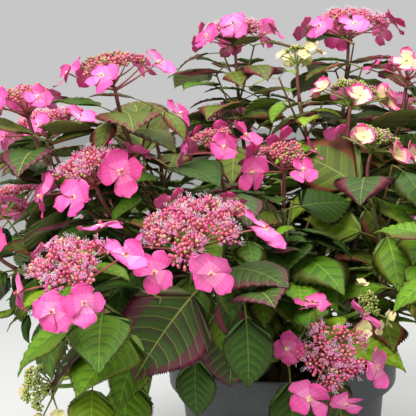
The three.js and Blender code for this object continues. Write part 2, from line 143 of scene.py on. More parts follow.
class StemPath:
    # A curved stem that can be asked for a point and its aim at a distance along it.
    steps, startPull, endPull, nearBy = 40, 0.36, 0.34, 0.0001

    def __init__(self, start, startAim, end, endAim):
        span = np.linalg.norm(end - start)
        self.corners = [start, start + startAim * span * self.startPull,
                        end - endAim * span * self.endPull, end]
        points = [self.pointAt(i / self.steps) for i in range(self.steps + 1)]
        self.marks = [0.0]
        for a, b in zip(points, points[1:]):
            self.marks.append(self.marks[-1] + np.linalg.norm(b - a))
        self.length = self.marks[-1]

    def pointAt(self, t):
        a, b, c, d = self.corners
        rest = 1 - t
        return a * rest**3 + b * (3 * rest * rest * t) + c * (3 * rest * t * t) + d * t**3

    def at(self, distance):
        i = 0
        while i < self.steps - 1 and self.marks[i + 1] < distance:
            i += 1
        share = (distance - self.marks[i]) / (self.marks[i + 1] - self.marks[i])
        t = (i + share) / self.steps
        aim = self.pointAt(min(1, t + self.nearBy)) - self.pointAt(max(0, t - self.nearBy))
        return self.pointAt(t), unit(aim)

    def points(self, start, end, spacing):
        count = max(2, math.ceil((end - start) / spacing))
        return np.array([self.at(start + (end - start) * i / count)[0] for i in range(count + 1)])


def squareTo(aim, outward):
    across = unit(np.cross(outward, aim))
    return across, np.cross(aim, across)


def turned(start, end, angle):
    return start * math.cos(angle) + end * math.sin(angle)


def headPlaces():
    heads = [dict(zip(("name", "azimuth", "reach", "height", "disc", "stage", "phase"), row))
             for row in shownHeads]
    draw = drawsFrom(seeds["heads"])
    for name, count, first, step, reach, height, disc in headRings:
        for i in range(count):
            heads.append({
                "name": f"{name}_{i + 1}",
                "azimuth": (first + i * step + draw(-1, 1) * ringJitter["azimuth"]) % 360,
                "reach": reach + draw(-1, 1) * ringJitter["reach"],
                "height": height + draw(-1, 1) * ringJitter["height"],
                "disc": disc + draw(-1, 1) * ringJitter["disc"],
                "stage": "bud" if i % 3 == 1 else "open",
                "phase": None,
            })
    return heads


def apart(a, b):
    turn = abs(a - b) % 360
    return min(turn, 360 - turn)


def makeShoot(head, index):
    shoot = dict(head)
    azimuth, height = head["azimuth"], head["height"]
    shoot["fall"] = max(0, (headLean["topHeight"] - height) / headLean["fall"])
    shoot["axis"] = leaning(azimuth, headLean["least"] + headLean["more"] * shoot["fall"] ** 2)
    shoot["centre"] = polar(azimuth, head["reach"], height)
    shoot["draw"] = drawsFrom(seeds["shoots"] + seeds["shootStep"] * index)
    phase = shoot["draw"](0, 180)
    if head["phase"] is None:
        shoot["phase"] = phase
    shoot["turn"] = shoot["draw"](0, 360)
    shoot["outward"] = polar(azimuth, 1, 0)
    shoot["node"] = shoot["centre"] - shoot["axis"] * raysRise
    canes = caneForm["azimuths"]
    shoot["cane"] = min(range(len(canes)), key=lambda i: apart(canes[i], azimuth))
    shoot.update(leaves=[], twigs=[], florets=[])
    return shoot


def leafyLength(path):
    count = pairForm["most"] - (1 if path.length < pairForm["shortShoot"] else 0)
    return pairForm["peduncle"] + (count - 1) * pairForm["internode"] + pairForm["stub"]


def growLimbs(shoots):
    limbs = []
    for number, azimuth in enumerate(caneForm["azimuths"]):
        own = sorted((s for s in shoots if s["cane"] == number), key=lambda s: -s["height"])
        leader, others = own[0], own[1:]
        foot = polar(azimuth, caneForm["ringRadii"][number % 2], soilTop + caneForm["gap"])
        path = StemPath(foot, leaning(azimuth, caneForm["lean"]), leader["node"], leader["axis"])
        leader["path"], leader["start"] = path, path.length - leafyLength(path)
        limb = {"others": others, "path": path, "length": leader["start"] - caneForm["gap"]}
        for shoot, share in zip(others, boughForm["forkShares"]):
            point, forkAim = path.at(limb["length"] * share)
            aim = unit(forkAim * boughForm["forkPull"] + unit(shoot["node"] - point))
            shoot["path"] = StemPath(point, aim, shoot["node"], shoot["axis"])
            rest = shoot["path"].length - leafyLength(shoot["path"])
            shoot["start"] = max(boughForm["shortest"], rest)
        limbs.append(limb)
    return limbs


class TakenSpace:
    # Points that stand for what has grown already.
    capacity, firstLook = 160000, 7

    def __init__(self):
        self.store, self.count = np.zeros((self.capacity, 3)), 0

    def take(self, points):
        points = np.atleast_2d(points)
        self.store[self.count:self.count + len(points)] = points
        self.count += len(points)

    def near(self, middle, reach):
        held = self.store[:self.count]
        return held[((held - middle) ** 2).sum(1) < reach * reach]

    def isClear(self, points, gap, held=None):
        radius, height = np.hypot(points[:, 0], points[:, 1]), points[:, 2]
        inside = potForm["rimRadius"] - potForm["wall"] - gap
        beyond = np.where(radius < potForm["rimRadius"] + gap, potForm["height"] + gap, gap)
        floor = np.where(radius < inside, soilTop + gap, beyond)
        if not (height > floor).all():
            return False
        if held is None:
            middle = points[len(points) // 2]
            held = self.near(middle, np.sqrt(((points - middle) ** 2).sum(1).max()) + gap)
        if not len(held):
            return True
        for some in (points[::self.firstLook], points):
            spread = ((some[:, None, :] - held[None, :, :]) ** 2).sum(2)
            if not (spread >= gap * gap).all():
                return False
        return True


space = TakenSpace()


def leafAt(leaf, distance):
    distance = np.asarray(distance, float)
    bend = leaf["droop"] * radians / (leaf["petiole"] + leaf["blade"])
    first = leaf["pitch"] * radians
    pitch = first - bend * distance
    ahead = polar(leaf["heading"], 1, 0)
    run = (math.sin(first) - np.sin(pitch)) / bend
    lift = (np.cos(pitch) - math.cos(first)) / bend
    point = leaf["root"] + run[:, None] * ahead + lift[:, None] * upward
    flatNormal = np.cos(pitch)[:, None] * upward - np.sin(pitch)[:, None] * ahead
    flatSide = np.cross(ahead, upward)
    roll = leaf["roll"] * radians
    side = flatSide * math.cos(roll) + flatNormal * math.sin(roll)
    return point, side, flatNormal * math.cos(roll) - flatSide * math.sin(roll)


def bladeHalfWidth(leaf, share):
    bow = np.clip(np.sin(math.pi * np.clip(share, 0, 1) ** 0.8), 0, 1)
    return leaf["halfWidth"] * bow ** (0.75 + 0.6 * share)


leafShares = np.array([0.06, 0.18, 0.3, 0.42, 0.54, 0.66, 0.78, 0.9, 1.0])
leafAcross = np.array([-1, -0.67, -0.33, 0, 0.33, 0.67, 1])


def leafPoints(leaf):
    stem, _, _ = leafAt(leaf, [leaf["petiole"] * 0.75])
    shares = np.repeat(leafShares, len(leafAcross))
    across = np.tile(leafAcross, len(leafShares))
    point, side, _ = leafAt(leaf, leaf["petiole"] + shares * leaf["blade"])
    return np.vstack([stem, point + side * (across * bladeHalfWidth(leaf, shares))[:, None]])


def leafCandidates(leaf, ways):
    for size in ways["sizes"]:
        for dip in ways["dips"]:
            for turn in ways["turns"]:
                yield {**leaf, "petiole": leaf["petiole"] * size, "blade": leaf["blade"] * size,
                       "halfWidth": leaf["halfWidth"] * size, "heading": leaf["heading"] + turn,
                       "pitch": leaf["pitch"] + dip}


def growLeaf(shoot, place, sideways, blade, rank, gap=room["leaf"], ways=tries):
    draw, (spot, stemAim) = shoot["draw"], place
    aim = turned(stemAim, sideways, draw(*leafForm["spread"]) * radians)
    outward = unit(np.array([spot[0], spot[1], 0]))
    flat = np.array([aim[0], aim[1], 0]) + outward * leafForm["outwardPull"]
    length = blade + draw(-1, 1) * pairForm["bladeJitter"]
    if shoot["stage"] == "green":
        length *= leafForm["young"]
    rise = math.asin(max(-1, min(1, aim[2]))) / radians - leafForm["hang"] * shoot["fall"]
    low, high = leafForm["pitch"]
    swing = draw(-leafForm["headingJitter"], leafForm["headingJitter"])
    leaf = {"root": spot, "rank": rank, "heading": math.atan2(flat[1], flat[0]) / radians + swing}
    leaf["pitch"] = max(low, min(high, rise))
    leaf["droop"] = draw(*leafForm["droop"])
    leaf["roll"] = draw(-1, 1) * leafForm["roll"]
    leaf["petiole"] = draw(*leafForm["petiole"])
    leaf["blade"] = length
    leaf["halfWidth"] = length * draw(*leafForm["halfWidth"])
    held = space.near(spot, leaf["petiole"] + leaf["blade"] + leaf["halfWidth"] + gap)
    for candidate in leafCandidates(leaf, ways):
        points = leafPoints(candidate)
        if points[:, 2].min() > ways.get("lowest", 0) and space.isClear(points, gap, held):
            space.take(points)
            shoot["leaves"].append(candidate)
            return True
    return False


def roundAbout(middle, across, away, radius, count, start=0.0):
    turns = start + np.arange(count) / count * 2 * math.pi
    return middle + radius * (np.cos(turns)[:, None] * across + np.sin(turns)[:, None] * away)


def discPoints(shoot):
    axis, centre, disc = shoot["axis"], shoot["centre"], shoot["disc"]
    across, away = squareTo(axis, shoot["outward"])
    return np.vstack([
        centre - axis * raysRise * 0.67,
        centre - axis * raysRise * 0.33,
        centre + axis * 8,
        roundAbout(centre - axis * raysRise * 0.5, across, away, 0.5 * disc, 6),
        roundAbout(centre + axis * 6, across, away, 0.5 * disc, 6),
        roundAbout(centre, across, away, 0.95 * disc, 12),
    ])


def floretFrame(floret):
    side = unit(np.cross(upward, floret["facing"]))
    return side, np.cross(floret["facing"], side)


def floretPoints(floret):
    ring = roundAbout(floret["centre"], *floretFrame(floret), floret["radius"] * 0.85, 8)
    return np.vstack([floret["centre"], ring])


def growFlorets(shoot):
    draw, axis, centre, disc = (shoot[key] for key in ("draw", "axis", "centre", "disc"))
    form, (count, radius) = floretForm, floretForm[shoot["stage"]]
    across, outward = squareTo(axis, shoot["outward"])
    for i in range(count):
        size = radius * draw(*form["size"])
        turn = shoot["turn"] + (i + draw(-form["turnJitter"], form["turnJitter"])) / count * 360
        reach = disc + size * form["gap"] + draw(*form["margin"])
        drop = form["drop"] + draw(-form["drop"], form["drop"])
        tip = draw(-form["tip"], form["tip"]), draw(-form["tip"], form["tip"])
        spin = draw(0, 90)
        for shift in form["shifts"]:
            away = turned(across, outward, (turn + shift) * radians)
            facing = unit(away * form["outward"] + axis * (form["upward"] + tip[0])
                          + np.cross(axis, away) * tip[1])
            floret = {"centre": centre + away * reach - axis * drop, "facing": facing,
                      "away": away, "spin": spin, "radius": size}
            points = floretPoints(floret)
            if space.isClear(points, room["floret"]):
                space.take(points)
                shoot["florets"].append(floret)
                break


def leafPlace(shoot, rank, side):
    distance = (shoot["path"].length - pairForm["peduncle"] - rank * pairForm["internode"]
                + pairForm["offset"] * side)
    place = shoot["path"].at(distance)
    across, outward = squareTo(place[1], shoot["outward"])
    sideways = turned(across, outward, (shoot["phase"] + 90 * rank + 180 * side) * radians)
    return place, sideways, distance > shoot["start"] + pairForm["aboveFork"]


def spun(vector, axis, angle):
    return (vector * math.cos(angle) + np.cross(axis, vector) * math.sin(angle)
            + axis * (axis @ vector) * (1 - math.cos(angle)))


def growSideTwig(shoot, rank, side):
    draw = shoot["draw"]
    (spot, stemAim), sideways, inShoot = leafPlace(shoot, rank, side)
    length = draw(*sideTwigForm["length"])
    swing = draw(-1, 1) * sideTwigForm["swing"] * radians
    if not inShoot:
        return False
    aim = turned(stemAim, spun(sideways, stemAim, swing), sideTwigForm["spread"] * radians)
    aim = unit(aim + upward * sideTwigForm["rise"])
    root = spot + stemAim * sideTwigForm["axil"]
    path = StemPath(root, aim, root + aim * length, aim)
    clearFrom = sideTwigForm["clearFrom"]
    if not space.isClear(path.points(clearFrom, length, guardSpacing), room["twig"]):
        return False
    space.take(path.points(clearFrom / 2, length, guardSpacing))
    before = len(shoot["leaves"])
    for sign in (1, -1):
        place = path.at(length - sideTwigForm["pairBack"] + sign)
        across, _ = squareTo(place[1], shoot["outward"])
        growLeaf(shoot, place, across * sign, sideTwigForm["blade"], rank)
    if len(shoot["leaves"]) == before:
        return False
    shoot["twigs"].append({"path": path, "length": length, "radius": shootForm["tipRadius"]})
    return True


def growPlant():
    shoots = [makeShoot(head, i) for i, head in enumerate(headPlaces())]
    limbs = growLimbs(shoots)
    for limb in limbs:
        space.take(limb["path"].points(0, limb["length"], guardSpacing))
    for shoot in shoots:
        space.take(shoot["path"].points(pairForm["stub"], shoot["path"].length, guardSpacing))
    for shoot in shoots:
        space.take(discPoints(shoot))
    for shoot in shoots:
        growFlorets(shoot)
    for rank in range(pairForm["most"]):
        for shoot in shoots:
            for side in (0, 1):
                place, sideways, inShoot = leafPlace(shoot, rank, side)
                if inShoot:
                    growLeaf(shoot, place, sideways, pairForm["blades"][rank], rank)
    for shoot in shoots:
        any(growSideTwig(shoot, rank, side)
            for rank in range(pairForm["most"] - 1, 0, -1) for side in (0, 1))
    return shoots, limbs


# The same rule once more, finer: leaves that found no room try again closer to their
# neighbours, and twigs that bear no flowers fill what gaps are left along shoots and canes.
finerForm = {
    "room": 3.6, "first": 34, "spacing": 11, "last": 8, "length": (24, 84), "blade": (54, 90),
    "spread": 50, "radius": 1.5, "secondPair": 50, "internode": 30, "bare": 20, "upperHalf": 300,
    "climb": 0.2, "upperClimb": 0.75, "bend": (0.15, 0.3), "longer": 1.35, "guards": (7, 12, 6),
    "retryBlade": 0.9, "headRoom": (16, 34), "headRings": (0.4, 1), "ringShare": 0.8,
    "ringPoints": 14, "floretRoom": (10, 22, 34), "fuller": ("young", "green"), "sameSpot": 0.1,
}
finerTries = {
    "sizes": [0.92, 0.66], "turns": [0, 24, -24, 48, -48], "dips": [0, -18], "lowest": 258,
}


def growFinerTwig(shoot, path, distance, turn):
    draw, (spot, stemAim) = shoot["draw"], path.at(distance)
    across, outward = squareTo(stemAim, shoot["outward"])
    sideways = turned(across, outward, turn * radians)
    length, blade = draw(*finerForm["length"]), draw(*finerForm["blade"])
    isUpper = spot[2] > finerForm["upperHalf"] and turn // 1 % 2
    climb = finerForm["upperClimb" if isUpper else "climb"]
    length *= finerForm["longer"] if isUpper else 1
    aim = unit(turned(stemAim, sideways, finerForm["spread"] * radians) + upward * climb)
    endRise, aimRise = finerForm["bend"]
    end = spot + unit(aim + upward * endRise) * length
    twigPath = StemPath(spot, aim, end, unit(aim + upward * aimRise))
    takenFrom, clearFrom, spacing = finerForm["guards"]
    if not space.isClear(twigPath.points(clearFrom, twigPath.length, spacing), finerForm["room"]):
        return
    before = len(shoot["leaves"])
    space.take(twigPath.points(takenFrom, twigPath.length, spacing))
    hasMore = length > finerForm["secondPair"]
    pairs = np.arange(0, length - finerForm["bare"], finerForm["internode"]) if hasMore else [0]
    for k, back in enumerate(pairs):
        for sign in (1, -1):
            place = twigPath.at(twigPath.length - 2 - back + sign)
            beside = squareTo(place[1], shoot["outward"])[k % 2]
            growLeaf(shoot, place, beside * sign, blade, 2 + k, finerForm["room"], finerTries)
    if len(shoot["leaves"]) > before:
        shoot["twigs"].append({"path": twigPath, "length": twigPath.length,
                               "radius": finerForm["radius"]})


def clearHead(shoot):
    # Points before a head, so that no finer leaf hangs over its flowers.
    across, away = squareTo(shoot["axis"], shoot["outward"])
    beyond, before = finerForm["headRoom"]
    reach = (shoot["disc"] + beyond) * finerForm["ringShare"]
    rise = shoot["axis"] * before
    for share in finerForm["headRings"]:
        middle = shoot["centre"] + rise * share
        ring = roundAbout(middle, across, away, reach, finerForm["ringPoints"])
        space.take(np.vstack([ring, (ring + middle) / 2]))
    for floret in shoot["florets"]:
        for ahead in finerForm["floretRoom"]:
            space.take(floretPoints(floret) + floret["facing"] * ahead)


def growFiner(shoots):
    for shoot in shoots:
        if shoot["stage"] in finerForm["fuller"]:
            half = 180 / floretForm[shoot["stage"]][0]
            growFlorets({**shoot, "turn": shoot["turn"] + half})
        clearHead(shoot)
    for rank in range(pairForm["most"]):
        for shoot in shoots:
            for side in (0, 1):
                place, sideways, inShoot = leafPlace(shoot, rank, side)
                near = [leaf for leaf in shoot["leaves"]
                        if np.linalg.norm(leaf["root"] - place[0]) < finerForm["sameSpot"]]
                if inShoot and not near:
                    blade = pairForm["blades"][rank] * finerForm["retryBlade"]
                    growLeaf(shoot, place, sideways, blade, rank, finerForm["room"], finerTries)
    for shoot in shoots:
        path = shoot["path"]
        last = path.length - pairForm["peduncle"] - finerForm["last"]
        for k, distance in enumerate(np.arange(finerForm["first"], last, finerForm["spacing"])):
            growFinerTwig(shoot, path, distance, shoot["phase"] + goldenDegrees * k)


# A few leaves lie as the photo shows them, a little off the rule, with the tints that it shows.
shownLeaves = {
    ("centre", 0): {"heading": -138, "pitch": -30, "droop": 20, "roll": 50, "petiole": 30,
                    "blade": 108, "halfWidth": 42, "tint": "plum"},
    ("centre", 1): {"heading": -50, "pitch": 24, "droop": 50, "tint": "dusk"},
    ("lower_left", 1): {"heading": -88, "pitch": 10, "droop": 70, "petiole": 15, "tint": "mid"},
    ("lower_left", 2): {"heading": -121, "pitch": -14, "droop": 20, "blade": 92, "tint": "fresh"},
    ("lower_left", 3): {"heading": -158, "pitch": 0, "droop": 70, "blade": 92, "tint": "dusk"},
    ("lower_front", 0): {"heading": -175, "pitch": 0, "droop": 30, "blade": 72, "halfWidth": 24,
                         "tint": "mid"},
    ("right", 0): {"heading": -106, "pitch": 58, "droop": 120, "petiole": 40, "blade": 78,
                   "halfWidth": 31, "tint": "dusk"},
    ("right", 1): {"heading": 141, "pitch": 34, "droop": 20, "roll": 60, "blade": 112,
                   "halfWidth": 40, "tint": "olive"},
    ("right", 3): {"heading": 170, "pitch": 26, "droop": 20, "roll": 60, "blade": 72,
                   "halfWidth": 22, "tint": "lime"},
    ("inner_front", 1): {"heading": 31, "pitch": 10, "droop": 20, "roll": -40, "blade": 78,
                         "halfWidth": 28, "tint": "deep"},
}

# Nothing finer grows before these leaves, square to them or towards the lens.
towardLens = np.array([-0.04, -0.975, 0.217])
sightRoom = range(0, 99, 14)


def layShownLeaves():
    for shoot in shoots:
        for (name, number), change in shownLeaves.items():
            if shoot["name"] == name:
                leaf = shoot["leaves"][number]
                leaf.update(change)
                normal = leafAt(leaf, [leaf["petiole"] + leaf["blade"] / 2])[2][0]
                for ahead in sightRoom:
                    space.take(leafPoints(leaf) + normal * ahead)
                    space.take(leafPoints(leaf) + towardLens * ahead)


def countOf(kind):
    return f"{sum(len(shoot[kind]) for shoot in shoots)} {kind}"


shoots, limbs = growPlant()
layShownLeaves()
print("grown by the solids' rule:", countOf("leaves"), countOf("florets"), countOf("twigs"))
growFiner(shoots)
print("with finer twigs:", countOf("leaves"), countOf("florets"), countOf("twigs"))


def srgb(red, green, blue):
    # A colour picked on screen, as the linear colour that the shaders take.
    return tuple(c / 12.92 if c <= 0.04045 else ((c + 0.055) / 1.055) ** 2.4
                 for c in (red / 255, green / 255, blue / 255)) + (1.0,)


class Wire:
    # A socket that takes part in Python expressions.
    def __init__(self, bench, socket):
        self.bench, self.socket = bench, socket

    def maths(self, operation, first, second):
        return self.bench.add("ShaderNodeMath", {"operation": operation}, {0: first, 1: second})

    def __add__(self, other):
        return self.maths("ADD", self, other)

    __radd__ = __add__

    def __sub__(self, other):
        return self.maths("SUBTRACT", self, other)

    def __mul__(self, other):
        return self.maths("MULTIPLY", self, other)


class Bench:
    # Adds nodes to one tree: settings first, then sockets by name or number.
    def __init__(self, tree):
        self.tree = tree
        tree.nodes.clear()

    def add(self, kind, settings=None, sockets=None, out=0):
        node = self.tree.nodes.new(kind)
        for name, value in (settings or {}).items():
            setattr(node, name, value)
        for name, value in (sockets or {}).items():
            if isinstance(value, Wire):
                self.tree.links.new(value.socket, node.inputs[name])
            else:
                node.inputs[name].default_value = value
        return Wire(self, node.outputs[out]) if node.outputs else node

    def blend(self, share, first, second, how="MIX"):
        return self.add("ShaderNodeMix", {"data_type": "RGBA", "blend_type": how},
                        {0: share, 6: first, 7: second}, 2)

    def speck(self, where, scale, detail=3.0, roughness=0.55):
        return self.add("ShaderNodeTexNoise", None,
                        {"Vector": where, "Scale": scale, "Detail": detail, "Roughness": roughness})

    def stretch(self, where, scale):
        return self.add("ShaderNodeMapping", None, {"Vector": where, "Scale": scale})

    def narrow(self, value, low, high):
        return self.add("ShaderNodeMapRange", {"interpolation_type": "SMOOTHSTEP"},
                        {0: value, 1: low, 2: high})

    def bump(self, height, strength, distance):
        return self.add("ShaderNodeBump", None,
                        {"Strength": strength, "Distance": distance, "Height": height})


def newFinish(name):
    material = bpy.data.materials.new(name)
    material.use_nodes = True
    return material, Bench(material.node_tree)


def mottledFinish(name):
    material, bench = newFinish(name)
    return material, bench, bench.add("ShaderNodeTexCoord", None, None, 3)


def close(bench, sockets):
    shader = bench.add("ShaderNodeBsdfPrincipled", None, sockets)
    bench.add("ShaderNodeOutputMaterial", None, {"Surface": shader})


def plainFinish(name, colour, roughness=0.5, gloss=0.5):
    material, bench = newFinish(name)
    close(bench, {"Base Color": srgb(*colour), "Roughness": roughness, "Specular IOR Level": gloss})
    material.diffuse_color = srgb(*colour)
    return material


def plainFinishes(colours, *surface):
    return [plainFinish(name, colour, *surface) for name, colour in colours.items()]


def potPlastic():
    material, bench, where = mottledFinish("potPlastic")
    split = bench.add("ShaderNodeSeparateXYZ", None, {0: where}, 2)
    cloud = bench.speck(where, 9.0, 4.0)
    grain = bench.speck(where, 900.0, 2.0)
    dust = bench.narrow(bench.speck(where, 60.0, 6.0, 0.7), 0.56, 0.78)
    runs = bench.narrow(bench.speck(bench.stretch(where, (70, 70, 6)), 1.0, 4.0), 0.5, 0.72)
    low = bench.narrow(split, 0.09, 0.0)
    dirt = dust * 0.35 + runs * 0.16 + low * 0.3
    colour = bench.blend(cloud, srgb(57, 60, 64), srgb(76, 79, 83))
    colour = bench.blend(dirt, colour, srgb(128, 122, 112))
    rough = 0.44 + cloud * 0.1 + dirt * 0.3
    bump = bench.bump(grain + dirt * 0.6, 0.22, 0.0006)
    close(bench, {"Base Color": colour, "Roughness": rough, "Normal": bump})
    return material


def compostFinish():
    material, bench, where = mottledFinish("compost")
    chunks = bench.add("ShaderNodeTexVoronoi", None, {"Vector": where, "Scale": 190.0}, 1)
    patch = bench.narrow(bench.speck(where, 45.0, 5.0), 0.35, 0.68)
    fine = bench.speck(where, 700.0, 3.0)
    colour = bench.blend(patch, srgb(35, 25, 20), srgb(78, 56, 42))
    colour = bench.blend(0.35, colour, chunks, "SOFT_LIGHT")
    bump = bench.bump(fine, 0.7, 0.002)
    close(bench, {"Base Color": colour, "Roughness": 0.86 + fine * 0.12, "Normal": bump})
    return material


def crumbFinish():
    material, bench, where = mottledFinish("barkCrumb")
    tone = bench.narrow(bench.speck(where, 120.0, 3.0), 0.3, 0.7)
    grain = bench.speck(where, 900.0, 3.0)
    colour = bench.blend(tone, srgb(44, 29, 22), srgb(112, 78, 56))
    bump = bench.bump(grain, 0.6, 0.0008)
    close(bench, {"Base Color": colour, "Roughness": 0.9, "Normal": bump})
    return material


def barkFinish():
    material, bench, where = mottledFinish("caneBark")
    split = bench.add("ShaderNodeSeparateXYZ", None, {0: where}, 2)
    streak = bench.speck(bench.stretch(where, (420, 420, 60)), 1.0, 5.0, 0.6)
    blotch = bench.narrow(bench.speck(where, 38.0, 4.0), 0.35, 0.7)
    pore = bench.narrow(bench.speck(where, 520.0, 1.0), 0.64, 0.72)
    height = bench.narrow(split, 0.2, 0.42)
    colour = bench.blend(streak, srgb(70, 52, 36), srgb(140, 116, 84))
    colour = bench.blend(blotch * 0.4, colour, srgb(96, 74, 50))
    colour = bench.blend(height * 0.7, colour, srgb(112, 112, 62))
    colour = bench.blend(pore * 0.7, colour, srgb(64, 42, 30))
    bump = bench.bump(streak + pore * 0.5, 0.6, 0.0008)
    close(bench, {"Base Color": colour, "Roughness": 0.6 + streak * 0.25, "Normal": bump})
    return material


def turnsAround(count):
    return np.arange(count) / count * 2 * math.pi


def unitRing(count):
    turns = turnsAround(count)
    return np.stack([np.cos(turns), np.sin(turns), np.zeros(count)], 1)


def ringFaces(rings, around, base=0):
    # Quads between rings of points that follow each other.
    return [tuple(base + k for k in (r * around + i, r * around + (i + 1) % around,
                                     (r + 1) * around + (i + 1) % around, (r + 1) * around + i))
            for r in range(rings - 1) for i in range(around)]


def bow(start, middle, end, count):
    shares = np.linspace(0, 1, count)[:, None]
    return start * (1 - shares) ** 2 + middle * 2 * shares * (1 - shares) + end * shares**2


class Heap:
    # Gathers points and faces in millimetres, each face with the slot of its finish.
    def __init__(self):
        self.blocks, self.faces, self.slots, self.count = [], [], [], 0

    def put(self, points, faces, slots):
        base = self.count
        self.blocks.append(np.asarray(points, float))
        self.count += len(points)
        self.faces.extend([tuple(base + i for i in face) for face in faces])
        self.slots.extend(slots)

    def tube(self, points, radii, sides, slot):
        points, count = np.asarray(points, float), len(points)
        aims = np.gradient(points, axis=0)
        aims /= np.linalg.norm(aims, axis=1)[:, None]
        side = unit(np.cross(aims[0], [0.31, 0.86, 0.41]))
        rings = []
        for point, aim, radius in zip(points, aims, radii):
            side = unit(side - aim * (side @ aim))
            rings.append(roundAbout(point, side, np.cross(aim, side), radius, sides))
        faces = ringFaces(count, sides)
        faces.append(tuple(range(sides))[::-1])
        faces.append(tuple((count - 1) * sides + i for i in range(sides)))
        self.put(np.vstack(rings), faces, [slot] * len(faces))

    def piece(self, name, finishes):
        mesh = bpy.data.meshes.new(name)
        mesh.from_pydata(np.vstack(self.blocks) * metre, [], self.faces)
        for finish in finishes:
            mesh.materials.append(finish)
        mesh.polygons.foreach_set("material_index", self.slots)
        mesh.polygons.foreach_set("use_smooth", [True] * len(self.faces))
        mesh.update()
        return newObject(name, mesh)


def newObject(name, content):
    made = bpy.data.objects.new(name, content)
    bpy.context.scene.collection.objects.link(made)
    return made


def ridesPot(piece, slotName, *nodes):
    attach(piece, "root")
    if nodes:
        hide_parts(*nodes)
    triangles = sum(len(polygon.vertices) - 2 for polygon in piece.data.polygons)
    print(piece.name, triangles, "triangles")


class Recipe:
    # A Geometry Nodes tree with named inputs, run once on a piece and then dropped.
    def __init__(self, name, inputs):
        self.tree = bpy.data.node_groups.new(name, "GeometryNodeTree")
        face = self.tree.interface
        face.new_socket("Geometry", in_out="INPUT", socket_type="NodeSocketGeometry")
        self.keys = {}
        for label, (kind, value) in inputs.items():
            socket = face.new_socket(label, in_out="INPUT", socket_type="NodeSocket" + kind)
            socket.default_value = value
            self.keys[label] = socket.identifier
        face.new_socket("Geometry", in_out="OUTPUT", socket_type="NodeSocketGeometry")
        self.bench = Bench(self.tree)
        self.entry = self.tree.nodes.new("NodeGroupInput")

    def given(self, label):
        return Wire(self.bench, self.entry.outputs[label])

    def stored(self, label, kind="FLOAT"):
        return self.bench.add("GeometryNodeInputNamedAttribute", {"data_type": kind},
                              {"Name": label})

    def facing(self):
        return self.bench.add("FunctionNodeAlignRotationToVector", {"axis": "Z"},
                              {"Vector": self.stored("aim", "FLOAT_VECTOR")})

    def dealOut(self, shape, rotation, scale):
        return self.bench.add("GeometryNodeInstanceOnPoints", None, {
            "Points": self.given("Geometry"), "Instance": shape, "Rotation": rotation,
            "Scale": scale})

    def end(self, shape, finishes, choice=None):
        add = self.bench.add
        shape = add("GeometryNodeRealizeInstances", None, {0: shape})
        for i, finish in enumerate(finishes):
            sockets = {"Geometry": shape, "Material": finish}
            if choice is not None:
                isEqual = {"data_type": "INT", "operation": "EQUAL"}
                sockets["Selection"] = add("FunctionNodeCompare", isEqual, {2: choice, 3: i})
            shape = add("GeometryNodeSetMaterial", None, sockets)
        add("NodeGroupOutput", None, {0: shape})

    def run(self, carrier, name, values):
        modifier = carrier.modifiers.new("recipe", "NODES")
        modifier.node_group = self.tree
        for label, value in values.items():
            modifier[self.keys[label]] = value
        bpy.context.view_layer.update()
        result = carrier.evaluated_get(bpy.context.evaluated_depsgraph_get())
        mesh = bpy.data.meshes.new_from_object(result)
        bpy.data.objects.remove(carrier)
        mesh.name = name
        return newObject(name, mesh)


def pointCarrier(name, points, values, edges=()):
    # A mesh of bare points, in metres, with a stored value or direction for each.
    mesh = bpy.data.meshes.new(name)
    mesh.from_pydata(np.asarray(points) * metre, list(edges), [])
    for label, rows in values.items():
        rows = np.asarray(rows, float)
        kind = "FLOAT_VECTOR" if rows.ndim > 1 else "INT" if label == "tint" else "FLOAT"
        stored = mesh.attributes.new(label, kind, "POINT")
        if kind == "INT":
            stored.data.foreach_set("value", rows.astype(int))
        else:
            stored.data.foreach_set("vector" if rows.ndim > 1 else "value", rows.ravel())
    return newObject(name, mesh)


potLook = {"around": 144, "edge": 1.2, "footRing": 3.0, "footInset": 14, "sharpAngle": 38}


def potProfile():
    form = potForm
    collarFoot = form["height"] - form["collarDepth"]
    shoulder = collarFoot - form["shoulderDrop"]
    top, rim, wall, edge = form["height"], form["rimRadius"], form["wall"], potLook["edge"]
    collar = rim - form["collarDraft"]
    foot, body, inset = form["footRadius"], form["bodyRadius"], potLook["footInset"]
    rise = potLook["footRing"]
    outline = [
        (0.01, rise), (foot - inset - 2, rise), (foot - inset, rise - 1), (foot - inset + 1, 0.4),
        (foot - inset + 2, 0), (foot - 2, 0), (foot - 0.6, 0.3), (foot, 1.4),
    ]
    for share in (0.2, 0.4, 0.6, 0.8):
        outline.append((foot + (body - foot) * share, shoulder * share))
    outline += [
        (body, shoulder - 1.2), (body + 0.9, shoulder + 0.6), (collar - 2.6, collarFoot - 3.4),
        (collar - 0.8, collarFoot - 1), (collar, collarFoot + edge),
        (collar + 1.0, (collarFoot + top) / 2), (rim - 1.0, top - 7.2), (rim - 0.9, top - 6.2),
        (rim - 0.1, top - 5.4), (rim, top - 3.8), (rim, top - 1.4), (rim - 0.5, top - 0.4),
        (rim - 1.3, top), (rim - wall + 0.6, top), (rim - wall, top - 0.8),
        (collar - wall, collarFoot), (body - wall, shoulder), (foot - wall, form["floor"] + 1),
        (foot - wall - 1, form["floor"]), (0.01, form["floor"]),
    ]
    return outline


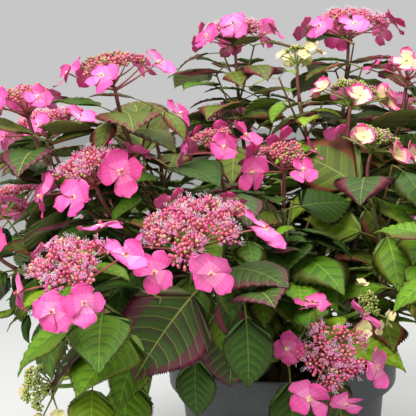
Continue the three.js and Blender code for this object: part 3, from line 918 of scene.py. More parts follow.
def makePot():
    outline, around = potProfile(), potLook["around"]
    ring = unitRing(around)
    heap = Heap()
    points = np.vstack([ring * radius + upward * height for radius, height in outline[1:-1]])
    rows = len(outline) - 2
    faces = ringFaces(rows, around)
    under, inner = rows * around, rows * around + 1
    points = np.vstack([points, upward * outline[0][1], upward * outline[-1][1]])
    faces += [(under, (i + 1) % around, i) for i in range(around)]
    last = (rows - 1) * around
    faces += [(inner, last + i, last + (i + 1) % around) for i in range(around)]
    heap.put(points, faces, [0] * len(faces))
    made = heap.piece("nursery_pot", [potPlastic()])
    made.data.set_sharp_from_angle(angle=potLook["sharpAngle"] * radians)
    ridesPot(made, "pot", "pot")


makePot()


compostLook = {
    "rings": 30, "around": 96, "gap": 0.7, "heave": 2.6, "waves": 9, "lower": 3.0, "bottom": 6,
    "crumbs": 1500, "crumbSize": (1.0, 3.6), "fewLarge": 2.2, "seed": 23, "nodesSeed": 7,
}


def compostHeave(draw):
    waves = [(draw.uniform(0.02, 0.11, 2), draw.uniform(0, 6.3), draw.uniform(0.3, 1))
             for _ in range(compostLook["waves"])]

    def heave(points):
        lift = sum(weight * np.sin(points[:, 0] * k[0] + points[:, 1] * k[1] + start)
                   for k, start, weight in waves)
        return lift / 5 * compostLook["heave"]

    return heave


def makeCompost():
    form, look = potForm, compostLook
    draw = np.random.default_rng(look["seed"])
    collarFoot = form["height"] - form["collarDepth"]
    inside = form["wall"] + look["gap"]
    level = soilTop - look["lower"]
    edge = form["rimRadius"] - form["collarDraft"] - inside
    around, ring = look["around"], unitRing(look["around"])
    heave = compostHeave(draw)
    rows = [ring * edge * r / look["rings"] + upward * level for r in range(1, look["rings"] + 1)]
    points = np.vstack(rows + [ring * (form["bodyRadius"] - inside) + upward * (collarFoot - 13),
                               ring * (form["footRadius"] - inside - 1) + upward * look["bottom"]])
    surface = len(rows) * around
    points[:surface, 2] += heave(points[:surface]) + draw.uniform(-0.5, 0.5, surface)
    points[:surface, 2] = np.minimum(points[:surface, 2], soilTop + 0.2)
    count = len(points)
    faces = [face[::-1] for face in ringFaces(count // around, around)]
    points = np.vstack([points, upward * level, upward * look["bottom"]])
    faces += [(count, i, (i + 1) % around) for i in range(around)]
    last = count - around
    faces += [(count + 1, last + (i + 1) % around, last + i) for i in range(around)]
    heap = Heap()
    heap.put(points, faces, [0] * len(faces))
    ridesPot(heap.piece("compost", [compostFinish()]), "soil", "soil")
    scatterCrumbs(draw, heave, edge - 4, level)


def scatterCrumbs(draw, heave, edge, level):
    spots = []
    for _ in range(compostLook["crumbs"]):
        reach, turn = edge * math.sqrt(draw.uniform()), draw.uniform(0, 2 * math.pi)
        spots.append([reach * math.cos(turn), reach * math.sin(turn), level])
    spots = np.array(spots)
    spots[:, 2] += heave(spots) - 0.1
    low, high = compostLook["crumbSize"]
    sizes = low + (high - low) * draw.uniform(0, 1, len(spots)) ** compostLook["fewLarge"]
    spots[:, 2] = np.minimum(spots[:, 2], soilTop + 1.2 - sizes * 0.5)
    carrier = pointCarrier("crumbSpots", spots, {"size": sizes * metre})
    recipe = Recipe("scatterCrumbs", {"Seed": ("Int", 5)})
    add = recipe.bench.add
    lump = add("GeometryNodeMeshIcoSphere", None, {"Radius": 1.0, "Subdivisions": 1})
    shape = add("FunctionNodeRandomValue", {"data_type": "FLOAT_VECTOR"},
                {0: (0.5, 0.5, 0.4), 1: (1.5, 1.0, 1.0), "Seed": recipe.given("Seed")})
    tilt = add("FunctionNodeRandomValue", {"data_type": "FLOAT_VECTOR"},
               {0: (-0.5, -0.5, 0.0), 1: (0.5, 0.5, 6.28), "Seed": recipe.given("Seed") + 1})
    grown = add("ShaderNodeVectorMath", {"operation": "SCALE"},
                {0: shape, "Scale": recipe.stored("size")})
    recipe.end(recipe.dealOut(lump, tilt, grown), [crumbFinish()])
    ridesPot(recipe.run(carrier, "bark_crumbs", {"Seed": compostLook["nodesSeed"]}), "soil")


makeCompost()
print("pot and compost made")


barkLook = {
    "sides": 12, "relief": 1.0, "grain": 210.0, "step": 5.0, "fewestStops": 6, "swell": 0.16,
    "swellShift": 20, "swellPlace": 28, "swellLength": 4.5, "flareLength": 4,
}


def limbLines():
    # Centrelines with a girth at each point; a limb swells a little where leaves once stood.
    lines = []

    def swell(stop):
        away = (stop + barkLook["swellShift"]) % pairForm["internode"] - barkLook["swellPlace"]
        return 1 + barkLook["swell"] * math.exp(-((away / barkLook["swellLength"]) ** 2))

    def follow(path, end, girthAt):
        stops = np.linspace(0, end, max(barkLook["fewestStops"], int(end / barkLook["step"])))
        girths = [girthAt(stop) * swell(stop) for stop in stops]
        lines.append(([path.at(stop)[0] for stop in stops], girths))

    for limb in limbs:
        narrowing = (caneForm["baseRadius"] - caneForm["tipRadius"]) / limb["length"]
        flare = caneForm["baseRadius"] * (caneForm["flare"] - 1)
        follow(limb["path"], limb["length"], lambda stop: caneForm["baseRadius"]
               - narrowing * stop + flare * math.exp(-stop / barkLook["flareLength"]))
        for shoot in limb["others"]:
            slope = (boughForm["baseRadius"] - boughForm["tipRadius"]) / shoot["start"]
            follow(shoot["path"], shoot["start"] - caneForm["gap"],
                   lambda stop: boughForm["baseRadius"] - slope * stop)
    return lines


def makeLimbs():
    points, edges, girths = [], [], []
    for line, girth in limbLines():
        base = len(points)
        points += line
        girths += girth
        edges += [(base + i, base + i + 1) for i in range(len(line) - 1)]
    carrier = pointCarrier("limbLines", points, {"girth": np.array(girths) * metre}, edges)
    recipe = Recipe("barkSkin", {"Sides": ("Int", 12), "Relief": ("Float", 0.0005),
                                 "Grain": ("Float", 200.0)})
    add = recipe.bench.add
    line = add("GeometryNodeMeshToCurve", None, {"Mesh": recipe.given("Geometry")})
    ring = add("GeometryNodeCurvePrimitiveCircle", None,
               {"Resolution": recipe.given("Sides"), "Radius": 1.0})
    skin = add("GeometryNodeCurveToMesh", None, {
        "Curve": line, "Profile Curve": ring, "Scale": recipe.stored("girth"), "Fill Caps": True})
    place = add("GeometryNodeInputPosition")
    grain = add("ShaderNodeTexNoise", {"noise_dimensions": "3D"},
                {"Vector": add("ShaderNodeVectorMath", {"operation": "MULTIPLY"},
                               {0: place, 1: (1, 1, 0.25)}),
                 "Scale": recipe.given("Grain"), "Detail": 3.0})
    push = add("ShaderNodeVectorMath", {"operation": "SCALE"},
               {0: add("GeometryNodeInputNormal"), "Scale": (grain - 0.5) * recipe.given("Relief")})
    skin = add("GeometryNodeSetPosition", None, {"Geometry": skin, "Offset": push})
    skin = add("GeometryNodeSetShadeSmooth", None, {"Geometry": skin})
    recipe.end(skin, [barkFinish()])
    values = {"Sides": barkLook["sides"], "Relief": barkLook["relief"] * metre,
              "Grain": barkLook["grain"]}
    made = recipe.run(carrier, "canes_and_boughs", values)
    woody = [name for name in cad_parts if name.startswith(("cane_", "bough_"))]
    ridesPot(made, "bark", *sorted(woody))


makeLimbs()
print("canes and boughs made")


# Six colours to a tint: blade, a darker band past each side vein that is painted shade (in the red
# tints partly flush too), flush towards the edge, margin, vein, underside.
leafTints = {
    "deep": ((58, 90, 26), (48, 76, 24), (50, 78, 24), (70, 82, 34), (94, 122, 46), (96, 124, 66)),
    "mid": ((82, 122, 28), (68, 104, 26), (70, 104, 28),
            (86, 98, 36), (120, 150, 52), (116, 146, 72)),
    "fresh": ((104, 146, 30), (88, 126, 28), (90, 126, 30),
              (108, 120, 38), (146, 178, 62), (134, 166, 78)),
    "lime": ((142, 172, 44), (122, 154, 38), (126, 156, 40),
             (142, 148, 52), (170, 198, 78), (156, 180, 90)),
    "olive": ((96, 112, 34), (84, 96, 32), (100, 92, 40),
              (120, 70, 46), (134, 146, 60), (128, 140, 76)),
    "bronze": ((86, 100, 34), (80, 82, 36), (100, 70, 44),
               (120, 52, 54), (130, 136, 62), (126, 132, 80)),
    "plum": ((64, 90, 36), (66, 74, 40), (96, 58, 62),
             (116, 44, 68), (142, 154, 72), (122, 122, 84)),
    "dusk": ((60, 86, 34), (58, 74, 34), (82, 60, 48),
             (106, 48, 58), (116, 134, 62), (112, 126, 80)),
}
leafParts = ("Blade", "Mid", "Flush", "Margin", "Vein", "Under")
leafZone = {part: i for i, part in enumerate(leafParts)}
leafLook = {
    "sweep": 0.36, "sweepFall": 0.8, "bow": 1.3, "broad": 1.06, "panelLift": 1.9, "veinSink": 0.5,
    "fold": 0.2, "curl": 0.24, "wave": 1.6, "toothOut": 2.5, "thickness": 0.45, "seed": 91,
    "nearFrom": -70, "nearBlade": 55, "roughness": 0.54, "underRoughness": 0.66, "gloss": 0.2,
    "closeUp": {"veins": 7, "across": [0, -1, 0.34, 0.64, 0.88, 1], "teeth": 3, "veinHalf": 0.0027},
    "further": {"veins": 5, "across": [0, -1, 0.6, 1], "teeth": 1, "veinHalf": 0.0034},
    "veinPlaces": (0.05, 0.77, 0.94), "tipFrom": 0.91, "petioleTaper": (1.25, 1.0, 0.95, 0.6),
    "petioleRadius": 1.25, "petioleSides": 5,
}
# Before the first side vein the margin runs round the base of the blade.
baseShares = [-0.1, -0.2, -0.31, -0.42]


class LeafPattern:
    # One leaf as bands from the base to the tip, with a narrow band for every side vein.
    # A corner is (band's share, way across, lift, side, layer, tooth); -1 across is the
    # midrib's edge.
    def __init__(self, form):
        veins, self.across = form["veins"], form["across"]
        first, reach, crowd = leafLook["veinPlaces"]
        starts = [first + reach * (k / (veins - 1)) ** crowd for k in range(veins)]
        self.rows = [(0.0, 0, False)]
        for k, start in enumerate(starts):
            self.rows += [(start - form["veinHalf"], 0, True), (start + form["veinHalf"], 0, False)]
            if k < veins - 1:
                self.rows.append(((start + starts[k + 1]) / 2, 1, False))
        self.rows += [(leafLook["tipFrom"], 0.5, False), (1.0, 0, False)]
        self.corners, self.faces, self.zones, self.index = [], [], [], {}
        for side in (1, -1):
            self.base(side)
            for r in range(len(self.rows) - 1):
                self.band(r, side, form["teeth"])

    def corner(self, r, c, side, layer=0):
        # Bands share the midrib, and both layers share the margin.
        edge = len(self.across) - 1
        key = (r, c, side if c else 0, layer if c < edge else 0)
        if r == len(self.rows) - 1 or r == 0 and c < edge:
            key = (r, 0, 0, 0)
        if key not in self.index:
            share, panel, _ = self.rows[r]
            self.index[key] = len(self.corners)
            self.corners.append((share, self.across[key[1]], panel, key[2], key[3], 0.0))
        return self.index[key]

    def extra(self, share, side, out):
        self.corners.append((share, 1.0, 0, side, 0, out))
        return len(self.corners) - 1

    def face(self, loop, side, part):
        loop = [k for i, k in enumerate(loop) if k not in loop[:i]]
        if len(loop) > 2:
            self.faces.append(tuple(loop if side > 0 else loop[::-1]))
            self.zones.append(leafZone[part])

    def base(self, side):
        edge = len(self.across) - 1
        rim = [self.corner(0, edge, side)]
        for share, toothed in zip(baseShares, (True, True, False, False)):
            rim += [self.extra(share + 0.06, side, 1.0)] * toothed + [self.extra(share, side, 0.0)]
        centre = self.corner(0, 0, side)
        # The base of the blade takes the same darker second colour, which is painted shade.
        self.face([centre] + rim[:4][::-1], side, "Mid")
        self.face([centre] + rim[3:][::-1], side, "Mid")
        self.face([centre] + rim, side, "Under")

    def band(self, r, side, teeth):
        edge, isVein = len(self.across) - 1, self.rows[r][2]
        low, high = self.rows[r][0], self.rows[r + 1][0]
        for c in range(edge):
            a, b = self.corner(r, c, side), self.corner(r + 1, c, side)
            d, e = self.corner(r + 1, c + 1, side), self.corner(r, c + 1, side)
            rim = [e, d]
            if c == edge - 1 and not isVein and r < len(self.rows) - 3:
                rim = [e]
                for k in range(teeth):
                    rim.append(self.extra(low + (high - low) * (k + 0.86) / teeth, side, 1.0))
                    rim.append(self.extra(low + (high - low) * (k + 1) / teeth, side, 0.0))
                rim[-1] = d
            # The half of each panel just past a side vein takes the darker second colour: painted
            # shade on the shadow side of the quilting.
            part = ("Vein" if c == 0 or isVein and c < edge - 1 else "Margin" if c == edge - 1
                    else leafParts[min(2, (c + (low > 0.66) > 2) * 2 + (self.rows[r][1] == 0))])
            self.face([a] + rim + [b], side, part)
            if c == edge - 1:
                self.face([self.corner(r, 0, side, 1), self.corner(r + 1, 0, side, 1)] + rim[::-1],
                          side, "Under")


def layLeaf(heap, pattern, leaf, slots, draw):
    look, scale = leafLook, leaf["blade"] / 100
    row, across, panel, side, layer, out = np.array(pattern.corners, float).T
    outward = np.where(across < 0, 0.0, across)
    share = row + look["sweep"] * (1 - row) ** look["sweepFall"] * outward ** look["bow"]
    share = np.where(row >= 1, 1.0, np.clip(share, 0, 1))
    half = bladeHalfWidth(leaf, share) * look["broad"]
    rib = np.minimum((1.0 - 0.7 * share) * scale, half * 0.4)
    wide = np.where(across < 0, rib, half * outward)
    wide = wide + out * look["toothOut"] * scale * np.clip(half / leaf["halfWidth"] * 1.6, 0.3, 1)
    share = share + out * 0.01
    point, sideways, normal = leafAt(leaf, leaf["petiole"] + share * leaf["blade"])
    reach = np.clip(wide / leaf["halfWidth"], 0, 1.1)
    waves, start = draw.uniform(7, 12), draw.uniform(0, 6.3)
    fold, curl = look["fold"] * draw.uniform(0.3, 1.5), look["curl"] * draw.uniform(0.4, 1.5)
    lift = leaf["halfWidth"] * (fold * reach - curl * reach**2)
    lift += look["wave"] * scale * reach**2 * np.sin(waves * share + start + side * 1.1)
    inner = (outward > 0.05) & (outward < 0.95)
    quilt = panel * look["panelLift"] - (panel == 0) * look["veinSink"]
    lift += scale * inner * quilt * (row > 0)
    lift -= (across <= 0) * look["veinSink"] * 1.4 * scale
    lift -= layer * look["thickness"]
    points = point + sideways * (wide * side)[:, None] + normal * lift[:, None]
    heap.put(points, pattern.faces, [slots[zone] for zone in pattern.zones])


def layPetiole(heap, leaf, slot):
    # The stalk runs on a little under the blade.
    widths = np.array(leafLook["petioleTaper"])
    stops = np.linspace(0, leaf["petiole"] + leaf["blade"] * 0.06, len(widths))
    points, _, normal = leafAt(leaf, stops)
    points = points - normal * np.linspace(0, 0.9, len(widths))[:, None]
    size = leafLook["petioleRadius"] * min(1.15, leaf["blade"] / 90)
    heap.tube(points, size * widths, leafLook["petioleSides"], slot)


# Upper and outer leaves flush bronze and plum; lower and inner ones stay green.
sprayTints = {
    "young": (("fresh", 0.55), ("lime", 0.45)),
    "dark": (("plum", 0.8), ("deep", 0.2)),
    # Young shoots take this brighter spray. Leaves on the right front take it too, as painted
    # light.
    "bright": (("lime", 0.24), ("fresh", 0.52), ("mid", 0.1), ("olive", 0.14)),
    "topOuter": (("bronze", 0.3), ("plum", 0.28), ("dusk", 0.16), ("olive", 0.2), ("mid", 0.06)),
    "topLow": (("plum", 0.3), ("dusk", 0.22), ("mid", 0.3), ("fresh", 0.18)),
    "upper": (("olive", 0.32), ("bronze", 0.2), ("dusk", 0.16), ("mid", 0.2), ("deep", 0.12)),
    "inner": (("mid", 0.36), ("deep", 0.3), ("fresh", 0.2), ("olive", 0.08), ("dusk", 0.06)),
    "low": (("fresh", 0.5), ("mid", 0.3), ("lime", 0.1), ("deep", 0.1)),
}


sprayLimits = {"low": 345, "top": 400, "upper": 430, "outer": 150, "sunny": (30, 60, 235)}


def sprayOf(shoot, leaf):
    (x, y, height), isFirst, limits = leaf["root"], leaf["rank"] == 0, sprayLimits
    if shoot["stage"] == "green":
        return "young"
    if shoot["name"] == "centre" and leaf["rank"] < 2:
        return "dark"
    # Leaves on the right front, where more light falls, take the brighter tints: painted light.
    right, back, foot = limits["sunny"]
    isSunny = x > right and y < back and height > foot and not isFirst
    if height < limits["upper"] and (shoot["stage"] == "young" or isSunny):
        return "bright"
    if height < limits["low"] and not isFirst:
        return "low"
    if isFirst and (height > limits["top"] or math.hypot(x, y) > limits["outer"]):
        return "topOuter" if height > limits["top"] else "topLow"
    return "upper" if height > limits["upper"] else "inner"


def tintOf(shoot, leaf, draw):
    names, shares = zip(*sprayTints[sprayOf(shoot, leaf)])
    return names[int(np.searchsorted(np.cumsum(shares), draw.uniform() * 0.9999))]


def partSlots(names, name, parts):
    first = names.index(name) * len(parts)
    return range(first, first + len(parts))


def makeLeaves():
    draw = np.random.default_rng(leafLook["seed"])
    names = list(leafTints)
    rough = {"Under": leafLook["underRoughness"]}
    finishes = [plainFinish(f"{name}Leaf{part}", colour, rough.get(part, leafLook["roughness"]),
                            leafLook["gloss"])
                for name in names for part, colour in zip(leafParts, leafTints[name])]
    finishes.append(plainFinish("petiole", (136, 132, 66)))
    patterns = {size: LeafPattern(leafLook[size]) for size in ("closeUp", "further")}
    heaps = {place: Heap() for place in ("front_left", "front_right", "back_left", "back_right")}
    nodes = {place: [] for place in heaps}
    for shoot in shoots:
        x, y = shoot["centre"][:2]
        place = ("front" if y < 0 else "back") + ("_left" if x < 0 else "_right")
        nodes[place].append("foliage_" + shoot["name"])
        for leaf in shoot["leaves"]:
            slots = partSlots(names, leaf.get("tint") or tintOf(shoot, leaf, draw), leafParts)
            isNear = (leaf["root"][1] < leafLook["nearFrom"]
                      and leaf["blade"] > leafLook["nearBlade"])
            layLeaf(heaps[place], patterns["closeUp" if isNear else "further"], leaf, slots, draw)
            layPetiole(heaps[place], leaf, len(finishes) - 1)
    for place, heap in heaps.items():
        ridesPot(heap.piece("leaves_" + place, finishes), "foliage", *nodes[place])


makeLeaves()
print("leaves made")


stemTints = {
    "greenStem": (124, 128, 66), "brownStem": (112, 84, 52), "redPeduncle": (122, 66, 58),
    "limeStem": (118, 148, 58),
}
stemLook = {
    "sides": 8, "twigSides": 5, "nodeSwell": 0.45, "swellLength": 5, "step": 7, "twigStep": 9,
    "limeBelow": 400, "greenTwigBelow": 420, "greenBelow": 500, "woodyRoughness": 0.55,
}


def makeStems():
    look, heap, names = stemLook, Heap(), list(stemTints)
    green, brown, red, lime = range(len(names))
    for shoot in shoots:
        path, start, length = shoot["path"], shoot["start"], shoot["path"].length
        stops = np.arange(start, length, look["step"])
        stops = np.append(stops[:-1] if length - stops[-1] < 3 else stops, length)
        points = np.array([path.at(stop)[0] for stop in stops])
        taper = shootForm["tipRadius"] - shootForm["radius"]
        radii = shootForm["radius"] + taper * (stops - start) / (length - start)
        for rank in range(pairForm["most"]):
            at = length - pairForm["peduncle"] - rank * pairForm["internode"]
            bump = np.exp(-(((stops - at) / look["swellLength"]) ** 2))
            radii = radii * (1 + look["nodeSwell"] * bump)
        young = shoot["stage"] == "green" and shoot["height"] < look["limeBelow"]
        cut = min(int(np.searchsorted(stops, length - pairForm["peduncle"])), len(stops) - 3)
        woody = lime if young else green if shoot["height"] < look["greenBelow"] else brown
        heap.tube(points[:cut + 1], radii[:cut + 1], look["sides"], woody)
        heap.tube(points[cut:], radii[cut:], look["sides"], lime if young else red)
        for twig in shoot["twigs"]:
            line, radius = twig["path"].points(0, twig["length"], look["twigStep"]), twig["radius"]
            isGreen = radius > 2 or shoot["height"] < look["greenTwigBelow"]
            heap.tube(line, np.linspace(radius * 1.15, radius * 0.75, len(line)), look["twigSides"],
                      green if isGreen else brown)
    rough = {"brownStem": look["woodyRoughness"]}
    finishes = [plainFinish(name, stemTints[name], rough.get(name, 0.5)) for name in names]
    ridesPot(heap.piece("green_stems", finishes), "foliage")


makeStems()
print("stems made")


# Sepal colours: the eye, then outwards to the edge, and the veins.
sepalTints = {
    "hot": ((240, 206, 170), (242, 110, 178), (236, 84, 164), (228, 70, 152), (220, 66, 146)),
    "pink": ((244, 220, 180), (246, 138, 192), (240, 106, 178), (232, 88, 166), (226, 86, 162)),
    "rose": ((234, 188, 150), (230, 108, 164), (220, 74, 148), (210, 60, 136), (200, 56, 130)),
    "cream": ((206, 206, 112), (236, 230, 160), (244, 204, 176), (238, 90, 154), (228, 170, 156)),
    "pale": ((204, 210, 110), (230, 232, 160), (236, 232, 170), (238, 206, 168), (214, 212, 130)),
}
sepalParts = ("Eye", "Inner", "Body", "Edge", "Vein")
sepalLook = {
    "along": [0.0, 0.11, 0.26, 0.44, 0.62, 0.79, 0.92, 1.0],
    "width": [0.08, 0.16, 0.3, 0.46, 0.55, 0.53, 0.37, 0.08],
    "across": [-1, -0.7, -0.46, -0.41, -0.03, 0.03, 0.41, 0.46, 0.7, 1],
    "broad": (0.8, 1.04), "long": (0.88, 1.16), "bowl": 1.25, "tip": (-0.03, 0.07),
    "paler": {"hot": "pink", "rose": "hot"}, "palerShare": 0.35, "tilt": 0.42, "twist": 0.2,
    "ruffle": 0.06, "seed": 37, "roughness": 0.55, "zones": [0, 1, 1, 2, 2, 3, 3],
    "fifth": 0.1, "overlap": 0.3,
    "button": 0.085, "redButtons": 0.7, "ray": (1.25, 0.8), "rayStops": 6, "raySides": 5,
}
# For each stage: tints with the share of florets up to which they reach, and how cupped they are.
stageSepals = {
    "open": ((("hot", 0.5), ("pink", 0.85), ("rose", 1)), (-0.06, 0.14)),
    "bud": ((("hot", 0.5), ("rose", 0.78), ("pink", 0.92), ("cream", 1)), (0.0, 0.2)),
    "young": ((("cream", 0.8), ("pink", 1)), (0.42, 0.66)),
    "green": ((("pale", 1),), (0.45, 0.7)),
}
floretTints = {
    "floretButton": (206, 84, 112), "floretButtonPale": (226, 206, 140), "floretRay": (176, 92, 92),
    "floretRayGreen": (140, 152, 76),
}


def laySepal(heap, floret, turn, slots, cup, draw, height):
    look, radius, facing = sepalLook, floret["radius"], floret["facing"]
    reach = radius * draw.uniform(*look["long"])
    ahead = turned(*floretFrame(floret), turn)
    beside = np.cross(facing, ahead)
    broad = radius * draw.uniform(*look["broad"]) * (look["bowl"] if cup > 0.3 else 1)
    tilt, wave, start = draw.uniform(-1, 1) * look["tilt"], draw.uniform(5, 9), draw.uniform(0, 6.3)
    columns, zones = len(look["across"]), look["zones"]
    share = np.repeat(look["along"], columns)
    across = np.tile(look["across"], len(look["along"]))
    wide = across * np.repeat(look["width"], columns) * broad / radius
    # The tip is notched or pointed and the sides bow back; each sepal lies over one neighbour.
    point = draw.uniform(*look["tip"])
    place = share - 0.07 * share * np.abs(across) ** 2
    place = place + point * (share > 0.9) * np.cos(across * math.pi / 2)
    lift = cup * share**1.7 + tilt * share * 0.6 - 0.09 * np.sin(share * 2.6)
    lift += (0.25 * cup - 0.12) * wide**2 + look["twist"] * wide * np.sin(share * math.pi)
    ripple = np.sin(wave * share + start + across * 1.4)
    lift += look["ruffle"] * ripple * share * (0.3 + np.abs(across))
    points = (floret["centre"] + np.outer(place * reach, ahead) + np.outer(wide * radius, beside)
              + np.outer(lift * reach + height, facing))
    faces, marks = [], []
    for r, zone in enumerate(zones):
        for c in range(columns - 1):
            a = r * columns + c
            faces.append((a + 1, a + columns + 1, a + columns, a))
            isVein = c in (2, 4, 6) and 0 < r < len(zones) - 2
            isRim = c in (0, columns - 2) and r > 2
            marks.append(slots[4 if isVein else 3 if isRim else zone])
    heap.put(points, faces, marks)


def button(heap, centre, aim, radius, slot, high=1.0, sides=6):
    across, away = squareTo(aim, unit(np.array([0.3, -0.8, 0.52])))
    rings = [centre - aim * radius * 0.8]
    for lift, wide in ((-0.35, 0.85), (0.25, 1.0), (0.75, 0.62)):
        middle = centre + aim * lift * radius * high
        rings.append(roundAbout(middle, across, away, radius * wide, sides))
    points = np.vstack(rings + [centre + aim * radius * 1.05 * high])
    last = len(points) - 1
    faces = [(0, 1 + (i + 1) % sides, 1 + i) for i in range(sides)] + ringFaces(3, sides, 1)
    faces += [(last, 1 + 2 * sides + i, 1 + 2 * sides + (i + 1) % sides) for i in range(sides)]
    heap.put(points, faces, [slot] * len(faces))


def makeFlorets():
    look, heap = sepalLook, Heap()
    draw = np.random.default_rng(look["seed"])
    names = list(sepalTints)
    finishes = [plainFinish(f"{name}Sepal{part}", colour, look["roughness"])
                for name in names for part, colour in zip(sepalParts, sepalTints[name])]
    redButton, paleButton, redRay, greenRay = range(len(finishes), len(finishes) + len(floretTints))
    finishes += plainFinishes(floretTints)
    for shoot in shoots:
        stage = shoot["stage"]
        tints, cups = stageSepals[stage]
        for floret in shoot["florets"]:
            pick = draw.uniform()
            name = next(tint for tint, reach in tints if pick < reach)
            cup = draw.uniform(*cups)
            count = 5 if draw.uniform() < look["fifth"] else 4
            for k in range(count):
                isPaler = draw.uniform() < look["palerShare"]
                other = look["paler"].get(name, name) if isPaler else name
                turn = floret["spin"] * radians + k * 2 * math.pi / count + draw.uniform(-0.1, 0.1)
                height = (1 if k % 2 else -1) * look["overlap"] * (1 if count == 4 else k / 3)
                laySepal(heap, floret, turn, partSlots(names, other, sepalParts), cup, draw, height)
            size, facing = floret["radius"] * look["button"], floret["facing"]
            isRed = stage == "open" and draw.uniform() < look["redButtons"]
            button(heap, floret["centre"] + facing * size * 0.9, facing, size,
                   redButton if isRed else paleButton)
            root = shoot["node"] + shoot["axis"] * draw.uniform(-4, 8)
            middle = root + shoot["axis"] * 6 + floret["away"] * shoot["disc"] * 0.55
            line = bow(root, middle, floret["centre"] - facing * 0.6, look["rayStops"])
            heap.tube(line, np.linspace(*look["ray"], look["rayStops"]), look["raySides"],
                      redRay if stage in ("open", "bud") else greenRay)
    ridesPot(heap.piece("florets", finishes), "foliage")


makeFlorets()
print("florets made")


budTints = {
    "coral": (228, 102, 128), "salmon": (236, 144, 152), "rosePink": (222, 88, 150),
    "greenBud": (160, 172, 84), "mauveBud": (178, 118, 134), "brownBud": (172, 106, 100),
    "creamBud": (214, 190, 140),
}
budMixes = {
    "open": (("coral", 0.44), ("salmon", 0.26), ("rosePink", 0.24), ("creamBud", 0.03),
             ("greenBud", 0.03)),
    "bud": (("coral", 0.3), ("mauveBud", 0.22), ("brownBud", 0.26), ("salmon", 0.12),
            ("greenBud", 0.1)),
    "young": (("greenBud", 0.6), ("mauveBud", 0.32), ("creamBud", 0.08)),
    "green": (("greenBud", 0.86), ("creamBud", 0.14)),
}
corymbTints = {
    "corymbRay": (164, 84, 84), "corymbRayGreen": (122, 136, 64), "pedicel": (206, 116, 122),
}
corymbLook = {
    "spacing": {"open": 3.9, "bud": 3.6, "young": 3.0, "green": 2.9},
    "size": {"open": 1.75, "bud": 1.65, "young": 1.6, "green": 1.5},
    "opened": {"open": 0.24, "bud": 0.0, "young": 0, "green": 0}, "dome": 0.3, "clump": 0.29,
    "ray": (1.1, 0.65), "rayStops": 5, "raySides": 5, "sag": 0.12, "pedicel": (0.42, 0.36),
    "pedicelSides": 3, "budSides": 5, "budRings": 3, "budStretch": 1.15, "budRoughness": 0.42,
    "seed": 59,
}


def corymbBuds(shoot, draw):
    # Clumps on a domed disc; each clump is a small dome of buds on its own stalk.
    disc, axis, centre = shoot["disc"], shoot["axis"], shoot["centre"]
    across, away = squareTo(axis, shoot["outward"])
    dome = corymbLook["dome"] * disc
    clumps, stalks = [], []
    total = max(5, round(9 * (disc / 40) ** 0.8) + 3)
    for i in range(total):
        reach = disc * 0.88 * math.sqrt((i + 0.4) / total)
        turn = i * goldenRadians + shoot["turn"] * radians + draw.uniform(-0.2, 0.2)
        clumps.append((reach * math.cos(turn), reach * math.sin(turn), draw.uniform(-2.5, 1.5)))
    size = disc * corymbLook["clump"] * (10 / total) ** 0.4
    spacing, buds = corymbLook["spacing"][shoot["stage"]], []
    for x, y, shift in clumps:
        count = max(6, round(math.pi * size * size / spacing ** 2 * 1.25))
        flat = math.hypot(x, y) / disc
        hub = centre + across * x + away * y + axis * (dome * (1 - flat**2) - size * 0.75 + shift)
        stalks.append((shoot["node"] + axis * draw.uniform(-2, 9), hub))
        lean = unit(axis + (across * x + away * y) / disc * 0.75)
        beside, over = squareTo(lean, shoot["outward"])
        for k in range(count):
            tilt = math.acos(1 - 0.78 * (k + 0.5) / count)
            turn = k * goldenRadians + draw.uniform(-0.2, 0.2)
            aim = turned(lean, turned(beside, over, turn), tilt)
            length = size * draw.uniform(0.82, 1.12)
            buds.append((hub, hub + aim * length, unit(aim + lean * 0.4)))
    return buds, stalks


def makeCorymbs():
    look, heap = corymbLook, Heap()
    draw = np.random.default_rng(look["seed"])
    names = list(budTints)
    closed = {"points": [], "aim": [], "size": [], "tint": []}
    opened = {"points": [], "aim": [], "size": [], "turn": []}
    redRay, greenRay, redPedicel = range(3)
    for shoot in shoots:
        stage = shoot["stage"]
        buds, stalks = corymbBuds(shoot, draw)
        isRed = stage in ("open", "bud")
        for start, end in stalks:
            sag = shoot["axis"] * np.linalg.norm(end - start) * look["sag"]
            line = bow(start, start * 0.45 + end * 0.55 - sag, end, look["rayStops"])
            heap.tube(line, np.linspace(*look["ray"], look["rayStops"]), look["raySides"],
                      redRay if isRed else greenRay)
        mix, weights = zip(*budMixes[stage])
        for hub, tip, aim in buds:
            heap.tube(np.array([hub, tip]), look["pedicel"], look["pedicelSides"],
                      redPedicel if isRed else greenRay)
            kind = opened if draw.uniform() < look["opened"][stage] else closed
            kind["points"].append(tip)
            kind["aim"].append(aim)
            if kind is opened:
                opened["size"].append(draw.uniform(0.85, 1.15))
                opened["turn"].append(draw.uniform(0, 6.28))
            else:
                closed["size"].append(look["size"][stage] * draw.uniform(0.72, 1.2) * metre)
                tint = mix[draw.choice(len(mix), p=np.array(weights) / sum(weights))]
                closed["tint"].append(names.index(tint))
    ridesPot(heap.piece("corymb_stalks", plainFinishes(corymbTints)), "foliage")
    setBuds(closed)
    setTinyFlowers(opened)


def setBuds(closed):
    look = corymbLook
    carrier = pointCarrier("budSpots", closed.pop("points"), closed)
    recipe = Recipe("setBuds", {"Sides": ("Int", 6), "Stretch": ("Float", 1.0)})
    add = recipe.bench.add
    ball = add("GeometryNodeMeshUVSphere", None,
               {"Segments": recipe.given("Sides"), "Rings": look["budRings"], "Radius": 1.0})
    scale = add("ShaderNodeCombineXYZ", None, {0: 1.0, 1: 1.0, 2: recipe.given("Stretch")})
    ball = add("GeometryNodeTransform", None, {"Geometry": ball, "Scale": scale})
    ball = add("GeometryNodeSetShadeSmooth", None, {"Geometry": ball})
    shape = recipe.dealOut(ball, recipe.facing(), recipe.stored("size"))
    recipe.end(shape, plainFinishes(budTints, look["budRoughness"]), recipe.stored("tint", "INT"))
    values = {"Sides": look["budSides"], "Stretch": look["budStretch"]}
    ridesPot(recipe.run(carrier, "flower_buds", values), "foliage")


